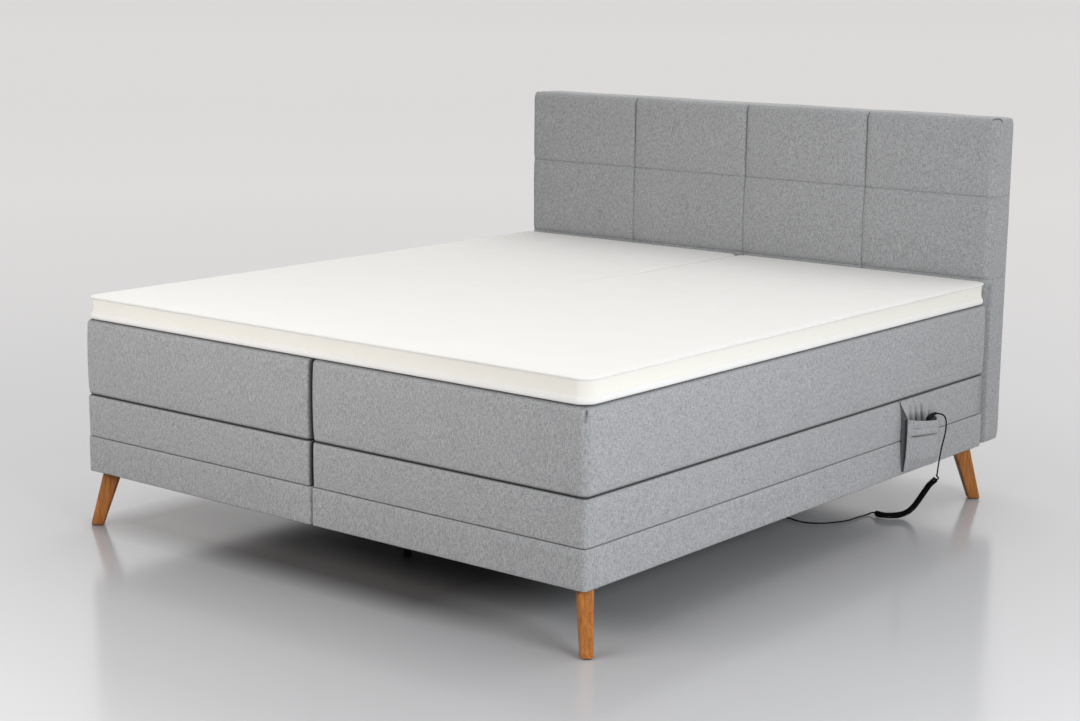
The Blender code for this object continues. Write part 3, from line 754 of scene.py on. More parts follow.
def bend(piece, name, fixed_body, moving_body):
    """Bends a piece round a hinge, in the zone that its bend gives at each height."""
    (low_start, high_start), (low_end, high_end) = BENDS[name]
    points = points_of(piece)
    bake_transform(piece, fixed_body, moving_body, start=(0, high_start, 0), end=(0, high_end, 0))
    # The topper and the mattress's top bend together, so that neither cuts through the other.
    f = np.clip((points[:, 2] - SECTION_LOW) / (MATTRESS_HIGH - SECTION_LOW), 0, 1)
    start = low_start + (high_start - low_start) * f
    end = low_end + (high_end - low_end) * f
    t = np.clip((points[:, 1] - start) / (end - start), 0, 1)
    soft = 0.14
    slope = 1 / (1 - soft)
    w = np.where(t < soft, slope * t * t / (2 * soft), slope * (t - soft / 2))
    w = np.where(t > 1 - soft, 1 - slope * (1 - t) ** 2 / (2 * soft), w)
    point_values(piece, "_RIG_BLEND", w)


def lengthways(corner, corner_steps, step, extra=()):
    """Stations from the foot to the head, close together where the layers bend."""
    marks = [FOOT_Y, FOOT_Y + corner, THIGH_CUT, SEAT_CUT, HEAD_Y - corner, HEAD_Y]
    marks += [BENT_FROM, BENT_TO, *extra]
    fine = [
        (FOOT_Y, FOOT_Y + corner, corner / corner_steps),
        (HEAD_Y - corner, HEAD_Y, corner / corner_steps),
        (BENT_FROM, BENT_TO, 0.012),
    ]
    return places(marks, step, fine)


def crossways(low, high, corner, corner_steps, step):
    """Stations across the bed, close together at its sides."""
    near, far = low + corner, high - corner
    beside = 0.06
    fine = [
        (low, near, corner / corner_steps),
        (far, high, corner / corner_steps),
        (near, near + beside, 0.015),
        (far - beside, far, 0.015),
    ]
    return places([low, near, near + beside, far - beside, far, high], step, fine)


def steady(y):
    """1 away from the cuts between pieces, and 0 at them, where the surface has to run straight on."""
    near = np.minimum(np.abs(y - SEAT_CUT), np.abs(y - THIGH_CUT))
    return eased((near - 0.02) / 0.08)


SIDES = {"left": -1, "right": 1}
MIDDLE_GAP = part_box("back_section_right")[0].x


def soft_profile(low, high, radii, bulge, rows=8):
    """A side that swells a little between its rounded lower and upper edges."""
    below = arc(radii[0], low + radii[0], radii[0], -90, 0, 4)
    above = arc(radii[1], high - radii[1], radii[1], 0, 90, 6)
    between = []
    for s in np.linspace(0, 1, rows + 1)[1:-1]:
        swell = bulge * math.sin(math.pi * s) ** 0.8
        between.append((-swell, low + radii[0] + s * (high - low - radii[0] - radii[1])))
    return below + between + above


def soft_block(side, low, high, radii, corner, bulge, unevenness, seed):
    """One side's upholstery, with sides that are a little uneven."""
    x0, x1 = sorted((SIDES[side] * MIDDLE_GAP, SIDES[side] * SIDE_X))
    profile = soft_profile(low, high, radii, bulge)
    block = Block(crossways(x0, x1, corner, 4, 0.05), lengthways(corner, 4, 0.035), corner, profile)
    out = block.normals()
    p = block.points
    push = unevenness * steady(p[:, 1]) * (0.6 * wander(p, 3.1, seed) + 0.4 * wander(p, 9.0, seed + 5))
    swelling = (block.level >= 5) & (np.abs(out[:, 2]) < 0.7)
    block.points = p + out * np.where(swelling, push, 0)[:, None]
    return block


def dark_places(block, kind, below, above):
    """Painted shade: how dark each point is, as little light reaches the gaps round a layer and a small tuck
    at the top of the mattress's outer foot corner.

    below and above are the darkness of the lowest and of the highest levels, from the cover on.
    """
    p = block.points
    shade = np.zeros(len(p))
    for k, dark in enumerate(below):
        shade[block.level == k - 1] = dark
    for k, dark in enumerate(above):
        shade[block.level == len(block.profile) - k] = dark
    between = np.clip(1 - (np.abs(p[:, 0]) - MIDDLE_GAP) / 0.0075, 0, 1)
    behind = np.clip((p[:, 1] - HEAD_Y + 0.0165) / 0.0085, 0, 1)
    # Painted shade: a dark mark at the top of the mattress's outer foot corner, where a small tuck would be
    # shaded; the tuck itself has no form.
    tuck_shade = np.zeros(len(p))
    if kind == "mattress":
        corner = np.hypot(np.abs(p[:, 0]) - SIDE_X + 0.0053, p[:, 1] - FOOT_Y - 0.0053)
        tuck_shade = np.clip(1 - corner / 0.005, 0, 1) * np.clip((p[:, 2] - MATTRESS_HIGH + 0.027) / 0.006, 0, 1)
    return np.maximum.reduce([shade, between, behind, tuck_shade])


def make_layer(kind, side, block, shade, stands_for, materials):
    """One side of a layer as three pieces that bend at the hinges: head, middle and foot."""
    cuts = {"head": (SEAT_CUT, None), "middle": (THIGH_CUT, SEAT_CUT), "foot": (None, THIGH_CUT)}
    hinges = {
        "head": ("back", "bed", f"back_{side}"),
        "middle": ("thigh", "bed", f"thigh_{side}"),
        "foot": ("calf", f"thigh_{side}", f"calf_{side}"),
    }
    made = []
    for (end, (low, high)), nodes in zip(cuts.items(), stands_for):
        lined = (lambda part: int(part == -1)) if len(materials) > 1 else None
        piece, used = block.piece(f"{kind}_{end}_{side}", low, high, lined)
        point_values(piece, "crease", shade[used])
        made.append((piece, end, [f"{node}_{side}" for node in nodes.split()]))
    for piece, end, names in made:
        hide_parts(*names)
        bend(piece, *hinges[end])
        dress(piece, *materials)


SECTION_SHAPE = {"radii": (0.004, 0.0075), "corner": 0.014, "bulge": 0.0008, "unevenness": 0.0016}
MATTRESS_SHAPE = {"radii": (0.0085, 0.016), "corner": 0.018, "bulge": 0.0022, "unevenness": 0.0030}


def make_bases_and_mattresses():
    for n, side in enumerate(SIDES):
        block = soft_block(side, SECTION_LOW, SECTION_HIGH, **SECTION_SHAPE, seed=3 + n)
        shade = dark_places(block, "section", (1.0, 0.9, 0.6, 0.3), (1.1, 1.1, 1.0, 0.6, 0.2))
        stands_for = ("back_section", "seat_section thigh_section", "calf_section")
        make_layer("section", side, block, shade, stands_for, (CLOTH, DUST_CLOTH))
    for n, side in enumerate(SIDES):
        block = soft_block(side, MATTRESS_LOW, MATTRESS_HIGH, **MATTRESS_SHAPE, seed=11 + 2 * n)
        shade = dark_places(block, "mattress", (1.1, 1.1, 1.1, 0.8, 0.3), (1.0, 1.0, 0.9, 0.55, 0.15))
        stands_for = (
            "mattress_back mattress_back_fold",
            "mattress_seat mattress_thigh mattress_thigh_fold",
            "mattress_calf",
        )
        make_layer("mattress", side, block, shade, stands_for, (CLOTH,))


make_bases_and_mattresses()

# ---- topper

SLIT_Y = 0.243
SLIT_GAP = 0.0018
LIP_TOP = TOPPER_LOW + 0.0190
BAND_TOP = TOPPER_HIGH - 0.0120


def topper_profile():
    """A rolled lower edge, a border that pulls in, and a softly rolled upper edge."""
    top = TOPPER_HIGH - 0.0035
    lip = [(0.0009, -0.0050), (0.0022, -0.0022), (0.0036, -0.0006)]
    lip += [(0.0046, 0.0), (0.0048, 0.0025), (0.0056, 0.009)]
    brim = [(0.0056, -0.009), (0.0047, -0.0025), (0.0044, 0.0), (0.0032, 0.0008)]
    brim += [(0.0014, 0.0022), (0.0004, 0.0044), (0.0012, 0.0066)]
    return [
        *arc(0.0075, TOPPER_LOW + 0.0075, 0.0075, -90, 20, 5),
        *((inset, LIP_TOP + z) for inset, z in lip),
        (0.0060, (LIP_TOP + BAND_TOP) / 2),
        *((inset, BAND_TOP + z) for inset, z in brim),
        *((inset, top + z) for inset, z in [(0.0042, -0.0022), (0.0100, -0.0008), (0.0180, 0.0)]),
    ]


def topper_parts(profile):
    """The material index of each part: the border between the two seams is cream."""
    seams = [k for k, (_, z) in enumerate(profile) if min(abs(z - LIP_TOP), abs(z - BAND_TOP)) < 1e-6]
    return lambda part: int(seams[0] <= part < seams[-1])


def topper_surface(block, slack=None):
    """Crowns the top, thins it out to the slit where the halves part, and leaves it slightly uneven."""
    p = block.points
    top = block.level >= len(block.profile) - 2
    crown = 1.0
    for room in (p[:, 1] - FOOT_Y, HEAD_Y - p[:, 1], SIDE_X - np.abs(p[:, 0])):
        crown = crown * (1 - np.exp(-np.maximum(room, 0) / 0.055))
    if slack is not None:
        free = np.array([slack(y) for y in p[:, 1]])
        crown *= 1 - free * 0.8 * np.exp(-np.abs(p[:, 0]) / 0.035)
    uneven = 0.0016 * (0.7 * wander(p * (1, 1, 0), 2.6, 21) + 0.3 * wander(p * (1, 1, 0), 8.5, 33))
    calm = steady(p[:, 1]) * eased((np.abs(p[:, 0]) - 0.01) / 0.06)
    p[:, 2] += 0.0035 * crown * top + np.where(top, uneven * calm * crown, 0)
    out = block.normals()
    wavy = 0.0022 * (0.6 * wander(p, 4.3, 41) + 0.4 * wander(p, 12.0, 47)) * calm
    sides = (np.abs(out[:, 2]) < 0.75) & ~top & (block.level > 1)
    block.points = p + out * np.where(sides, wavy, 0)[:, None]


def slack_of(y):
    """How far the topper's halves have parted: 0 at the slit's end, and 1 from a little further on."""
    return float(eased((y - SLIT_Y + 0.006) / 0.09))


def make_topper():
    corner = 0.042
    profile = topper_profile()
    parts = topper_parts(profile)
    xs = crossways(-SIDE_X, SIDE_X, corner, 6, 0.05)
    xs = np.array(sorted(set(np.round([*xs, 0.0, -0.02, 0.02, -0.0025, 0.0025], 6))))
    whole = Block(xs, lengthways(corner, 6, 0.03), corner, profile)
    topper_surface(whole)
    foot, _ = whole.piece("topper_foot", None, THIGH_CUT, parts)
    middle, _ = whole.piece("topper_middle", THIGH_CUT, SEAT_CUT, parts)
    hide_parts("topper_calf")
    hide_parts("topper_thigh", "topper_seat")
    pieces = [(foot, "calf", "thigh_left", "calf_left"), (middle, "thigh", "bed", "thigh_left")]
    ys = lengthways(corner, 6, 0.03, [SLIT_Y + d for d in (-0.006, 0.0, 0.006, 0.014)])
    for side, way in SIDES.items():
        x0, x1 = sorted((0.0, way * SIDE_X))
        half = Block(crossways(x0, x1, corner, 6, 0.05), ys, corner, profile, slack=slack_of, inner=-way)
        from_middle = np.abs(half.points[:, 0])
        free = np.array([slack_of(y) for y in half.points[:, 1]])
        move = way * SLIT_GAP * free * np.clip(1 - from_middle / corner, 0, 1)
        half.points[:, 0] += np.where(from_middle < corner, move, 0)
        topper_surface(half, slack_of)
        head, _ = half.piece(f"topper_head_{side}", SEAT_CUT, None, parts)
        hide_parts(f"topper_back_{side}")
        pieces.append((head, "back", "bed", f"back_{side}"))
    for piece, name, fixed, moving in pieces:
        bend(piece, name, fixed, moving)
        dress(piece, WHITE_KNIT, CREAM_BORDER)


make_topper()

# ---- headboard

SEAM_X = (-0.45, 0.0, 0.45)
SEAM_Z = (0.931, 0.680)


def quilted(low, high, corner, seams):
    """Stations from end to end, close together in the corners and beside each seam."""
    near = (0.0, 0.0012, 0.003, 0.006, 0.011, 0.018, 0.028, 0.042)
    marks = {low, low + corner, high - corner, high}
    marks |= {s + way * d for s in seams for way in (-1, 1) for d in near}
    return places(marks, 0.018, [(low, low + corner, corner / 6), (high - corner, high, corner / 6)])


def stitched(block):
    """Pulls the padding in at the seams, and gives each point's painted shade, darkest in the seam grooves.
    """
    p = block.points
    # The block lies on its back: its second axis is height, and its third runs forwards from the board.
    x, z, d = p[:, 0].copy(), p[:, 1].copy(), p[:, 2].copy()
    out = block.normals()
    front = np.clip((out[:, 2] - 0.1) / 0.8, 0, 1)
    rear = d < 0.003
    gap_x = np.min([np.abs(x - s) for s in SEAM_X], axis=0)
    gap_z = np.min([np.abs(z - s) for s in SEAM_Z], axis=0)
    upper = 0.45 + 0.55 * eased((z - 0.80) / 0.30)
    over_top = np.clip(front + 0.5 * (out[:, 1] > 0.5) * np.clip((d - 0.05) / 0.04, 0, 1), 0, 1)
    groove_x = 0.0068 * np.exp(-gap_x / 0.0060) * upper * over_top
    groove_z = 0.0036 * np.exp(-gap_z / 0.0070) * np.maximum(front, 0.5)
    pulled = (0.0042 * np.exp(-gap_x / 0.040) * upper + 0.0022 * np.exp(-gap_z / 0.040)) * front
    # Where the cloth is held by the stitches, short creases run off from them.
    ripple = 0.0011 * np.exp(-gap_x / 0.035) * wander(np.stack([x * 9, z * 34, 0 * z], 1), 1.0, 71)
    ripple += 0.0008 * np.exp(-gap_z / 0.030) * wander(np.stack([x * 30, z * 9, 0 * z], 1), 1.0, 77)
    uneven = 0.0024 * (wander(p, 4.0, 61) + 0.5 * wander(p, 11.0, 63)) + ripple * front
    inwards = groove_x + groove_z + pulled - uneven
    block.points = p - out * np.where(rear, 0, inwards)[:, None]
    # Little light reaches the strip beside the mattress's edge.
    below = np.clip((0.672 - z) / 0.02, 0, 1)
    beside = below * np.clip(1 - np.abs(np.abs(x) - SIDE_X + 0.002) / 0.011, 0, 1)
    # Painted shade in the seam grooves and beside the mattress's edge.
    crease = np.maximum(0.95 * np.exp(-gap_x / 0.0016) * over_top * upper, 0.5 * beside * front)
    return np.clip(crease + 0.34 * np.exp(-gap_z / 0.0014) * np.maximum(front, 0.8), 0, 1) * ~rear


def make_headboard():
    """Foam and cloth round the whole board, quilted in four columns and three rows, with lining behind."""
    low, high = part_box("headboard_pad")
    back_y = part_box("headboard_board")[1].y
    depth = back_y - low.y
    radius, corner = 0.026, 0.030
    profile = [(0.024, 0.0016), (0.0235, 0.0), (0.006, 0.0), (0.0015, 0.0015), (0.0, 0.006)]
    profile += [(0.0, d) for d in np.linspace(0.014, depth - radius - 0.002, 9)]
    profile += arc(radius, depth - radius, radius, 0, 90, 8)
    xs, zs = quilted(low.x, high.x, corner, SEAM_X), quilted(low.z, high.z, corner, SEAM_Z)
    block = Block(xs, zs, corner, profile, roundness=0.5)
    crease = stitched(block)
    q = block.points
    block.points = np.stack([q[:, 0], back_y - q[:, 2], q[:, 1]], axis=1)
    cover, used = block.piece("headboard_cover", parts=lambda part: int(part < 1))
    point_values(cover, "crease", crease[used])
    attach(cover, "bed")
    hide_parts("headboard_pad", "headboard_board")
    dress(cover, CLOTH, DUST_CLOTH)
    for side, way in SIDES.items():
        make_corner_fold(side, way, Vector((high.x, low.y, high.z)))


def make_corner_fold(side, way, corner):
    """The folded cloth at a top corner of the headboard, painted dark all over for the shade in the fold."""
    steps = [(-0.024, 0.010, -0.006), (-0.012, 0.018, -0.0015)]
    steps += [(-0.004, 0.028, -0.004), (-0.0005, 0.034, -0.016)]
    line = smooth_route([(way * (corner.x + a), corner.y + b, corner.z + c) for a, b, c in steps], 0.0025)
    sizes = 0.0015 * np.sin(np.linspace(0.12, math.pi - 0.12, len(line))) ** 0.6
    fold = tube_mesh(f"headboard_fold_{side}", line, sizes, around=8)
    # Painted shade: the whole fold is painted dark.
    point_values(fold, "crease", np.full(len(fold.data.vertices), 0.85))
    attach(fold, "bed")
    dress(fold, CLOTH)


make_headboard()

# ---- chassis cloth and legs


def rounded(deep, wide, radius, steps=5):
    """A rectangle with round corners about its centre, with each point's direction outwards."""
    found = []
    for quarter, (sx, sy) in enumerate([(1, 1), (-1, 1), (-1, -1), (1, -1)]):
        for k in range(steps + 1):
            a = math.radians(90 * (quarter + k / steps))
            u, v = math.cos(a), math.sin(a)
            x, y = sx * (deep / 2 - radius), sy * (wide / 2 - radius)
            found.append((x + radius * u, y + radius * v, u, v))
    return found


def thicken(sheet, thickness, offset):
    """Gives a sheet its thickness: inwards of its surface (-1), to both sides (0) or outwards (1)."""
    solid = sheet.modifiers.new("thickness", "SOLIDIFY")
    solid.thickness = thickness
    solid.offset = offset


def make_skirt(side):
    """The cloth stretched over the outside of a chassis, turned in under its boards."""
    low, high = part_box(f"chassis_{side}")
    thick, turned_in, corner = 0.0012, 0.022, 0.012
    top = high.z + thick
    wide, deep = high.x - low.x + 2 * thick, high.y - low.y + 2 * thick
    middle = (low + high) / 2
    outline = [(middle.x + x, middle.y + y, u, v) for x, y, u, v in rounded(wide, deep, corner, 6)]
    dense = []
    for a, b in zip(outline, outline[1:] + outline[:1]):
        n = max(1, round(math.hypot(b[0] - a[0], b[1] - a[1]) / 0.05))
        dense += [tuple(p + (q - p) * k / n for p, q in zip(a, b)) for k in range(n)]
    profile = [(-0.020, top + 0.0001), (-0.0028, top), (-0.0008, top - 0.0006), (0.0, top - 0.0025)]
    profile += [(0.0, z) for z in np.linspace(top - 0.02, low.z + 0.004, 5)]
    profile += [(-0.0006, low.z + 0.0006), (-0.004, low.z - 0.0008), (-turned_in, low.z - 0.0008)]
    points = [(x + inset * u, y + inset * v, z) for inset, z in profile for x, y, u, v in dense]
    skirt = new_object(f"base_cloth_{side}", points, ring_faces(len(profile), len(dense)))
    thicken(skirt, 0.0008, -1)
    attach(skirt, "bed")
    dress(skirt, CLOTH)


for side in SIDES:
    make_skirt(side)
    dress(frame["nodes"][f"chassis_{side}"], LINED_BOARD)


FOOT_SIZE, TOP_SIZE = (0.0375, 0.0315), (0.0535, 0.0410)
FOOT_INSET, SPLAY, FELT_HIGH = 0.0295, 0.0509, 0.0028


def leg_ring(centre, outwards, z, deep, wide, radius):
    """A level section of a leg, turned to the way that the leg splays."""
    sideways = Vector((-outwards.y, outwards.x))
    xys = [centre + outwards * x + sideways * y for x, y, _, _ in rounded(deep, wide, radius)]
    return [(xy.x, xy.y, z) for xy in xys]


def make_corner_leg(end, side):
    """A tapered, splayed oak leg with softened edges, on a felt glide, under a steel fixing plate."""
    node = f"leg_{end}_{side}"
    low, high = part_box(node)
    sx, sy = SIDES[side], (-1 if end == "foot" else 1)
    outwards = Vector((sx, sy)).normalized()
    foot = Vector((high.x if sx > 0 else low.x, high.y if sy > 0 else low.y)) - outwards * FOOT_INSET
    top = foot - outwards * SPLAY
    (foot_deep, foot_wide), (top_deep, top_wide) = FOOT_SIZE, TOP_SIZE
    sections = []
    for z in (FELT_HIGH, FELT_HIGH + 0.0012, 0.02, 0.05, 0.09, 0.13, high.z - 0.003, high.z - 0.0016):
        t = z / high.z
        trim = 0.0012 if z == FELT_HIGH else 0.0
        deep = foot_deep + (top_deep - foot_deep) * t**1.1 - 2 * trim
        wide = foot_wide + (top_wide - foot_wide) * t**1.1 - 2 * trim
        sections.append(leg_ring(foot.lerp(top, t), outwards, z, deep, wide, 0.0085 - trim))
    leg = loft(f"oak_{node}", sections)
    glide = loft(f"felt_{node}", [
        leg_ring(foot, outwards, z, foot_deep - 2 * trim, foot_wide - 2 * trim, 0.006)
        for z, trim in ((0.0, 0.0045), (0.0006, 0.0038), (FELT_HIGH - 0.0003, 0.0036))
    ])
    plate = loft(f"plate_{node}", [
        leg_ring(top, outwards, high.z - under, 0.070 - trim, 0.060 - trim, 0.010)
        for under, trim in ((0.0012, 0.0), (0.0002, 0.0), (0.0, 0.0004))
    ])
    for piece, material in ((leg, OAK), (glide, FELT), (plate, STEEL)):
        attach(piece, "bed")
        dress(piece, material)
    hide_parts(node)


for side in SIDES:
    for end in ("foot", "head"):
        make_corner_leg(end, side)

# ---- hand control pocket

FACE_X = SIDE_X + 0.0012
MOUTH_LEFT, MOUTH_RIGHT = (0.4316, 0.3335), (0.6330, 0.3050)
POUCH_BOTTOM = (0.1770, 0.1720)
FLAP_TOP_Y = (0.4160, 0.6280)
# The pouch's foot side, from its bottom to its mouth: how far up, and then where it is or how deep.
POUCH_LEFT_Y = ((0, 0.26, 0.48, 0.7, 0.85, 1), (0.4440, 0.4365, 0.4325, 0.4312, 0.4312, 0.4316))
POUCH_LEFT_DEPTH = ((0, 0.12, 0.28, 0.5, 0.75, 1), (0.0070, 0.0110, 0.0165, 0.0205, 0.0220, 0.0212))
# How the cloth turns back to the bed's side, column by column: share of the depth, way out and painted
# shade.
TURNED_LEFT = ((0.90, -0.0003, 1.15), (0.5, -0.0005, 0.85), (0.0, 0.0004, 0.2))
TURNED_RIGHT = ((0.8, 0.0014, 0.0), (0.4, 0.0024, 0.0), (0.0, 0.0030, 0.0))
# The same for the flap's foot side: share of the depth and painted shade, which is None in its first column,
# as that has the painted shade of its own folds.
FLAP_TURNED = ((1.0, None), (0.90, 0.85), (0.5, 0.6), (0.05, 0.15))
# The folds between the flap's gathers: how far across, how wide and how deep.
FOLDS = ((0.22, 0.045, 0.8), (0.38, 0.050, 0.8), (0.58, 0.070, 1.0), (0.82, 0.060, 0.9))
BOOT_ROUTE = [
    (0.9105, 0.5660, 0.3095),
    (0.9120, 0.5760, 0.3142),
    (0.9132, 0.5880, 0.3183),
    (0.9140, 0.6010, 0.3213),
    (0.9146, 0.6133, 0.3225),
]


def pouch_point(s, t):
    """Front of the pouch: s from its foot side to its head side, t from its bottom to its mouth."""
    left_y = float(np.interp(t, *POUCH_LEFT_Y))
    right_y = 0.6560 - 0.0230 * t
    y = left_y + (right_y - left_y) * s
    z_bottom = POUCH_BOTTOM[0] + (POUCH_BOTTOM[1] - POUCH_BOTTOM[0]) * s
    sag = 0.0035 * math.sin(math.pi * s)
    z_top = MOUTH_LEFT[1] + (MOUTH_RIGHT[1] - MOUTH_LEFT[1]) * s - sag
    z = z_bottom + (z_top - z_bottom) * t
    low_end = float(eased(t / 0.24))
    left = float(np.interp(t, *POUCH_LEFT_DEPTH))
    full = 0.015 + 0.014 * low_end
    right = 0.004 + 0.006 * low_end
    depth = left + (full - left) * float(eased(s / 0.30))
    depth += (right - full) * float(eased((s - 0.74) / 0.26))
    # The wide hem stands a little proud, and creases under its stitching.
    hem = 0.695 + 0.010 * s - 0.09 * (s - 0.45) ** 2
    over = t - hem
    inside = float(eased((s - 0.04) / 0.10) * eased((0.93 - s) / 0.12))
    depth += 0.0016 * float(eased((over + 0.01) / 0.02)) * inside
    depth -= 0.0045 * math.exp(-((over / 0.020) ** 2)) * inside
    depth -= 0.0016 * math.exp(-(((over - 0.155) / 0.018) ** 2)) * inside * (1 - 0.4 * s)
    slack = noise.noise(Vector((y * 17, z * 17, 1.3))) + 0.5 * noise.noise(Vector((y * 45, z * 45, 5.2)))
    depth += 0.0020 * slack * math.sin(math.pi * s) * min(1, 4 * t)
    # Painted shade in the crease under the hem's stitching and in the one above it.
    crease = 1.15 * math.exp(-(((over + 0.006) / 0.017) ** 2)) * inside * (1 - 0.40 * s)
    crease += 0.42 * math.exp(-(((over - 0.155) / 0.010) ** 2)) * inside * (1 - 0.5 * s)
    return (FACE_X + depth, y, z), crease


def grid_faces(columns, rows):
    """The faces of a sheet, whose points are listed row by row."""
    starts = [j * columns + i for j in range(rows - 1) for i in range(columns - 1)]
    return [(a, a + 1, a + 1 + columns, a + columns) for a in starts]


def make_pouch():
    columns, rows = 34, 46
    points, painted_shades = [], []
    # Besides the front, three columns at each side and two rows below turn back to the bed's side.
    for j in range(-2, rows):
        t = max(j, 0) / (rows - 1)
        for i in range(-3, columns + 3):
            s = min(max(i, 0), columns - 1) / (columns - 1)
            (x, y, z), crease = pouch_point(s, t)
            beyond = max(-i, i - columns + 1, 0)
            depth, dark = x - FACE_X, 0.0
            if beyond:
                share, out, dark = (TURNED_LEFT if i < 0 else TURNED_RIGHT)[beyond - 1]
                depth *= share
                y += out if i > 0 else -out
            if j < 0:
                depth *= (0.7, 0.0)[-j - 1]
                z -= (0.0016, 0.0010)[-j - 1]
            points.append((FACE_X + max(depth, 0.0006), y, z))
            # Painted shade on the turned-back sides, and a little on the rows below.
            painted_shades.append(crease + dark + (0.15 if j < 0 else 0.0))
    pouch = new_object("pocket_pouch", points, grid_faces(columns + 6, rows + 2))
    point_values(pouch, "crease", painted_shades)
    thicken(pouch, 0.0014, 1)
    return pouch


def make_flap():
    """The cloth that the pocket hangs by, gathered towards its mouth."""
    columns, rows = 60, 30
    top_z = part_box("control_pocket")[1].z - 0.001
    points, painted_shades = [], []
    for j in range(rows):
        t = j / (rows - 1)
        for i in range(-3, columns):
            s = max(i, 0) / (columns - 1)
            top_y = FLAP_TOP_Y[0] + (FLAP_TOP_Y[1] - FLAP_TOP_Y[0]) * s
            mouth_y = MOUTH_LEFT[0] + 0.0006 + (MOUTH_RIGHT[0] - 0.008 - MOUTH_LEFT[0]) * s
            y = top_y + (mouth_y - top_y) * (1 - (1 - t) ** 1.6)
            z_low = MOUTH_LEFT[1] + (MOUTH_RIGHT[1] - MOUTH_LEFT[1]) * s - 0.012
            z = top_z + (z_low - top_z) * t
            flare = 0.0205 * (0.35 * t + 0.65 * float(eased(t))) * math.exp(-s / 0.060)
            gather = math.exp(-(((s - 0.45) / 0.36) ** 2)) * float(eased((t - 0.08) / 0.70))
            across = s + 0.05 * (1 - t) * (s - 0.4)
            waves = 1 - min(1.0, sum(v * math.exp(-(((across - at) / wide) ** 2)) for at, wide, v in FOLDS))
            # Its foot side turns back to the bed's side.
            share, dark = FLAP_TURNED[max(-i, 0)]
            depth = (0.0016 + flare + 0.0100 * gather * waves**1.3) * share
            points.append((FACE_X + max(depth, 0.0007), y, z))
            # Painted shade in the valleys between the gathers, deepening towards the pocket's mouth.
            flap_shade = gather * (1 - waves) ** 1.6 * 0.85
            flap_shade += 0.60 * float(eased((t - 0.45) / 0.5)) * (0.25 + 0.75 * gather)
            painted_shades.append(min(1.0, flap_shade) if dark is None else dark)
    flap = new_object("pocket_flap", points, grid_faces(columns + 3, rows))
    point_values(flap, "crease", painted_shades)
    thicken(flap, 0.0012, 0)
    return flap


def make_pocket():
    pouch, flap = make_pouch(), make_flap()
    for piece in (pouch, flap):
        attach(piece, "back_right")
        dress(piece, CLOTH)
    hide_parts("control_pocket")
    line = smooth_route(BOOT_ROUTE, 0.0018)
    along = np.linspace(0, 1, len(line))
    sizes = 0.0070 - 0.0031 * along**1.2 - 0.0022 * np.exp(-along / 0.06)
    sizes += 0.00035 * np.sign(np.sin(along * 46)) * (along > 0.45)
    boot = tube_mesh("cord_boot", line, sizes, around=16)
    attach(boot, "back_right")
    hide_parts("strain_relief")
    dress(boot, CABLE_SHEATH)


make_pocket()

# ---- the other frame nodes' finishes

FINISHES = {
    "centre_leg": BLACK_PAINT,
    "joining_plate": STEEL,
    "drive_": GREY_PLASTIC,
    "back_torque": STEEL,
    "leg_torque": STEEL,
    "back_thrust": BLACK_PLASTIC,
    "leg_thrust": BLACK_PLASTIC,
    "control_": BLACK_PLASTIC,
    "back_rocker": GREY_PLASTIC,
    "leg_rocker": GREY_PLASTIC,
    "plug": BLACK_PLASTIC,
}


def finish_nodes():
    for name, node in frame["nodes"].items():
        found = [finish for start, finish in FINISHES.items() if name.startswith(start)]
        if found and not node.hide_render:
            dress(node, found[0])
            node.data.shade_smooth()
            node.data.set_sharp_from_angle(angle=math.radians(38))


finish_nodes()

# ---- floor and light


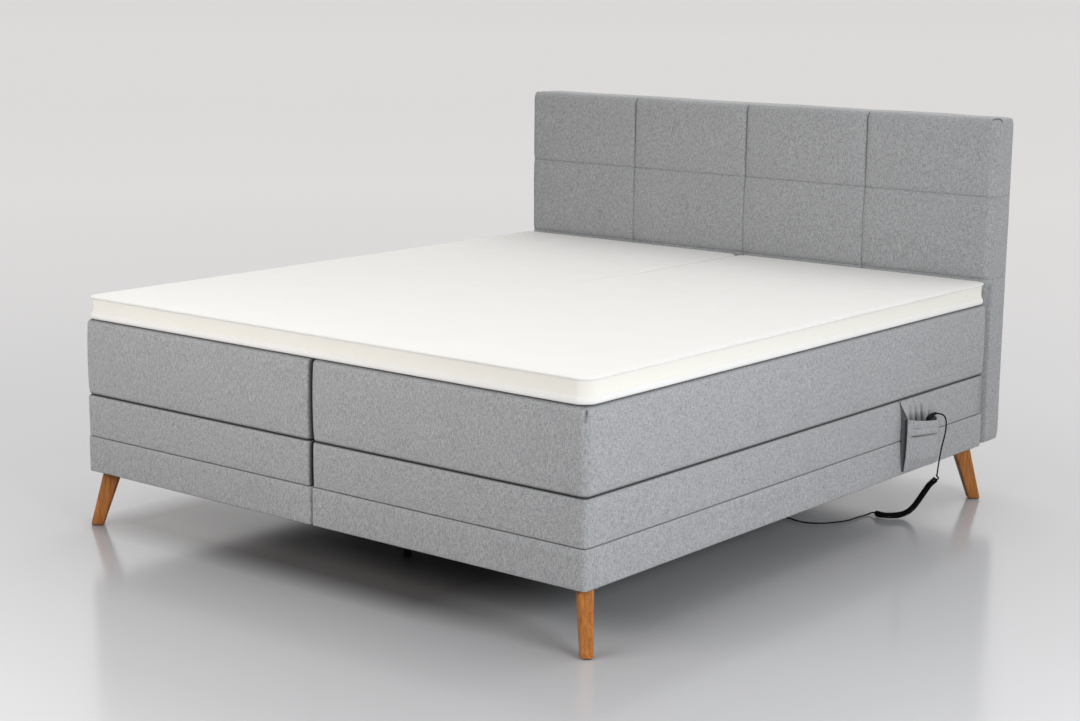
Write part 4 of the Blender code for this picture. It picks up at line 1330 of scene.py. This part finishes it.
def make_floor():
    size, height = 400.0, -0.0006
    corners = [(x * size, y * size, height) for x, y in ((-1, -1), (1, -1), (1, 1), (-1, 1))]
    floor = new_object("floor", corners, [(0, 1, 2, 3)])
    t = Finish("studio_floor", roughness=0.16, specular=0.34)
    place = t.place()
    far = t.add("ShaderNodeVectorMath", operation="LENGTH")
    t.link(place, far.inputs[0])
    away = t.span(far.outputs["Value"], 1.8, 9.0)
    # Painted light: the floor is painted darker near the bed and paler further off.
    floor_painted_light = t.ramp(away, [(0.0, (0.50, 0.50, 0.51)), (0.4, (0.70, 0.695, 0.70)), (1.0, (0.86, 0.845, 0.84))])
    # Painted light: a little paler on the right, where the room's light falls.
    across = t.along(place, (0.9, 0.44, 0.0))
    floor_painted_light = t.mix(t.span(across, 0.0, 2.2, 0.0, 0.16), floor_painted_light, (0.92, 0.91, 0.91))
    # Hardly any light reaches the floor under the foot end.
    x, y, _ = t.split(place)
    under = t.span(y, FOOT_Y - 0.05, FOOT_Y + 0.10, 0.0, 0.80)
    left = t.span(x, -0.98, -0.84)
    right = t.span(x, 0.30, 0.62, 1.0, 0.0)
    behind = t.span(y, HEAD_Y - 0.5, HEAD_Y, 1.0, 0.0)
    within = t.times(t.times(left, right), behind)
    t.colour(t.mix(t.times(under, within), floor_painted_light, (0.12, 0.11, 0.105)))
    dress(floor, t.material)


# Each lamp's place, what it is turned to, its size, its power in watts and its colour.
LAMPS = {
    "overhead": ((0.0, 1.5, 4.0), (0, 0.6, 0.4), (4.0, 4.0), 34, (1, 1, 1)),
    "front": ((-0.5, -3.3, 1.7), (-0.2, -1.0, 0.35), (2.6, 0.9), 47, (1.0, 0.985, 0.97)),
    "right_side": ((4.5, -1.5, 1.6), (0.9, -0.5, 0.2), (2.0, 1.6), 100, (0.92, 0.96, 1.0)),
}


def area_light(name, at, toward, size, power, colour):
    data = bpy.data.lights.new(name, "AREA")
    data.shape = "RECTANGLE"
    data.size, data.size_y = size
    data.energy = power
    data.color = colour
    lamp = bpy.data.objects.new(name, data)
    bpy.context.scene.collection.objects.link(lamp)
    lamp.location = at
    lamp.visible_glossy = False
    lamp.rotation_mode = "QUATERNION"
    lamp.rotation_quaternion = (Vector(toward) - Vector(at)).to_track_quat("-Z", "Y")


def make_light():
    world = bpy.data.worlds.new("studio")
    bpy.context.scene.world = world
    t = Tree(world)
    back = t.nodes["Background"]
    back.inputs["Color"].default_value = (0.98, 0.968, 0.962, 1)
    towards = t.place("Generated")
    # White walls behind the bed, and a darker room towards the viewer.
    walls = t.span(t.along(towards, (-0.26, 0.966, 0.0)), -0.7, 0.7, 0.14, 1.18)
    # The foot of the walls is dimmer.
    rise = t.span(t.split(towards)["Z"], 0.0, 0.22, 0.5, 1.02)
    t.link(t.times(walls, rise), back.inputs["Strength"])
    for name, settings in LAMPS.items():
        area_light(name, *settings)


make_floor()
make_light()
bpy.context.scene.view_settings.view_transform = "Standard"
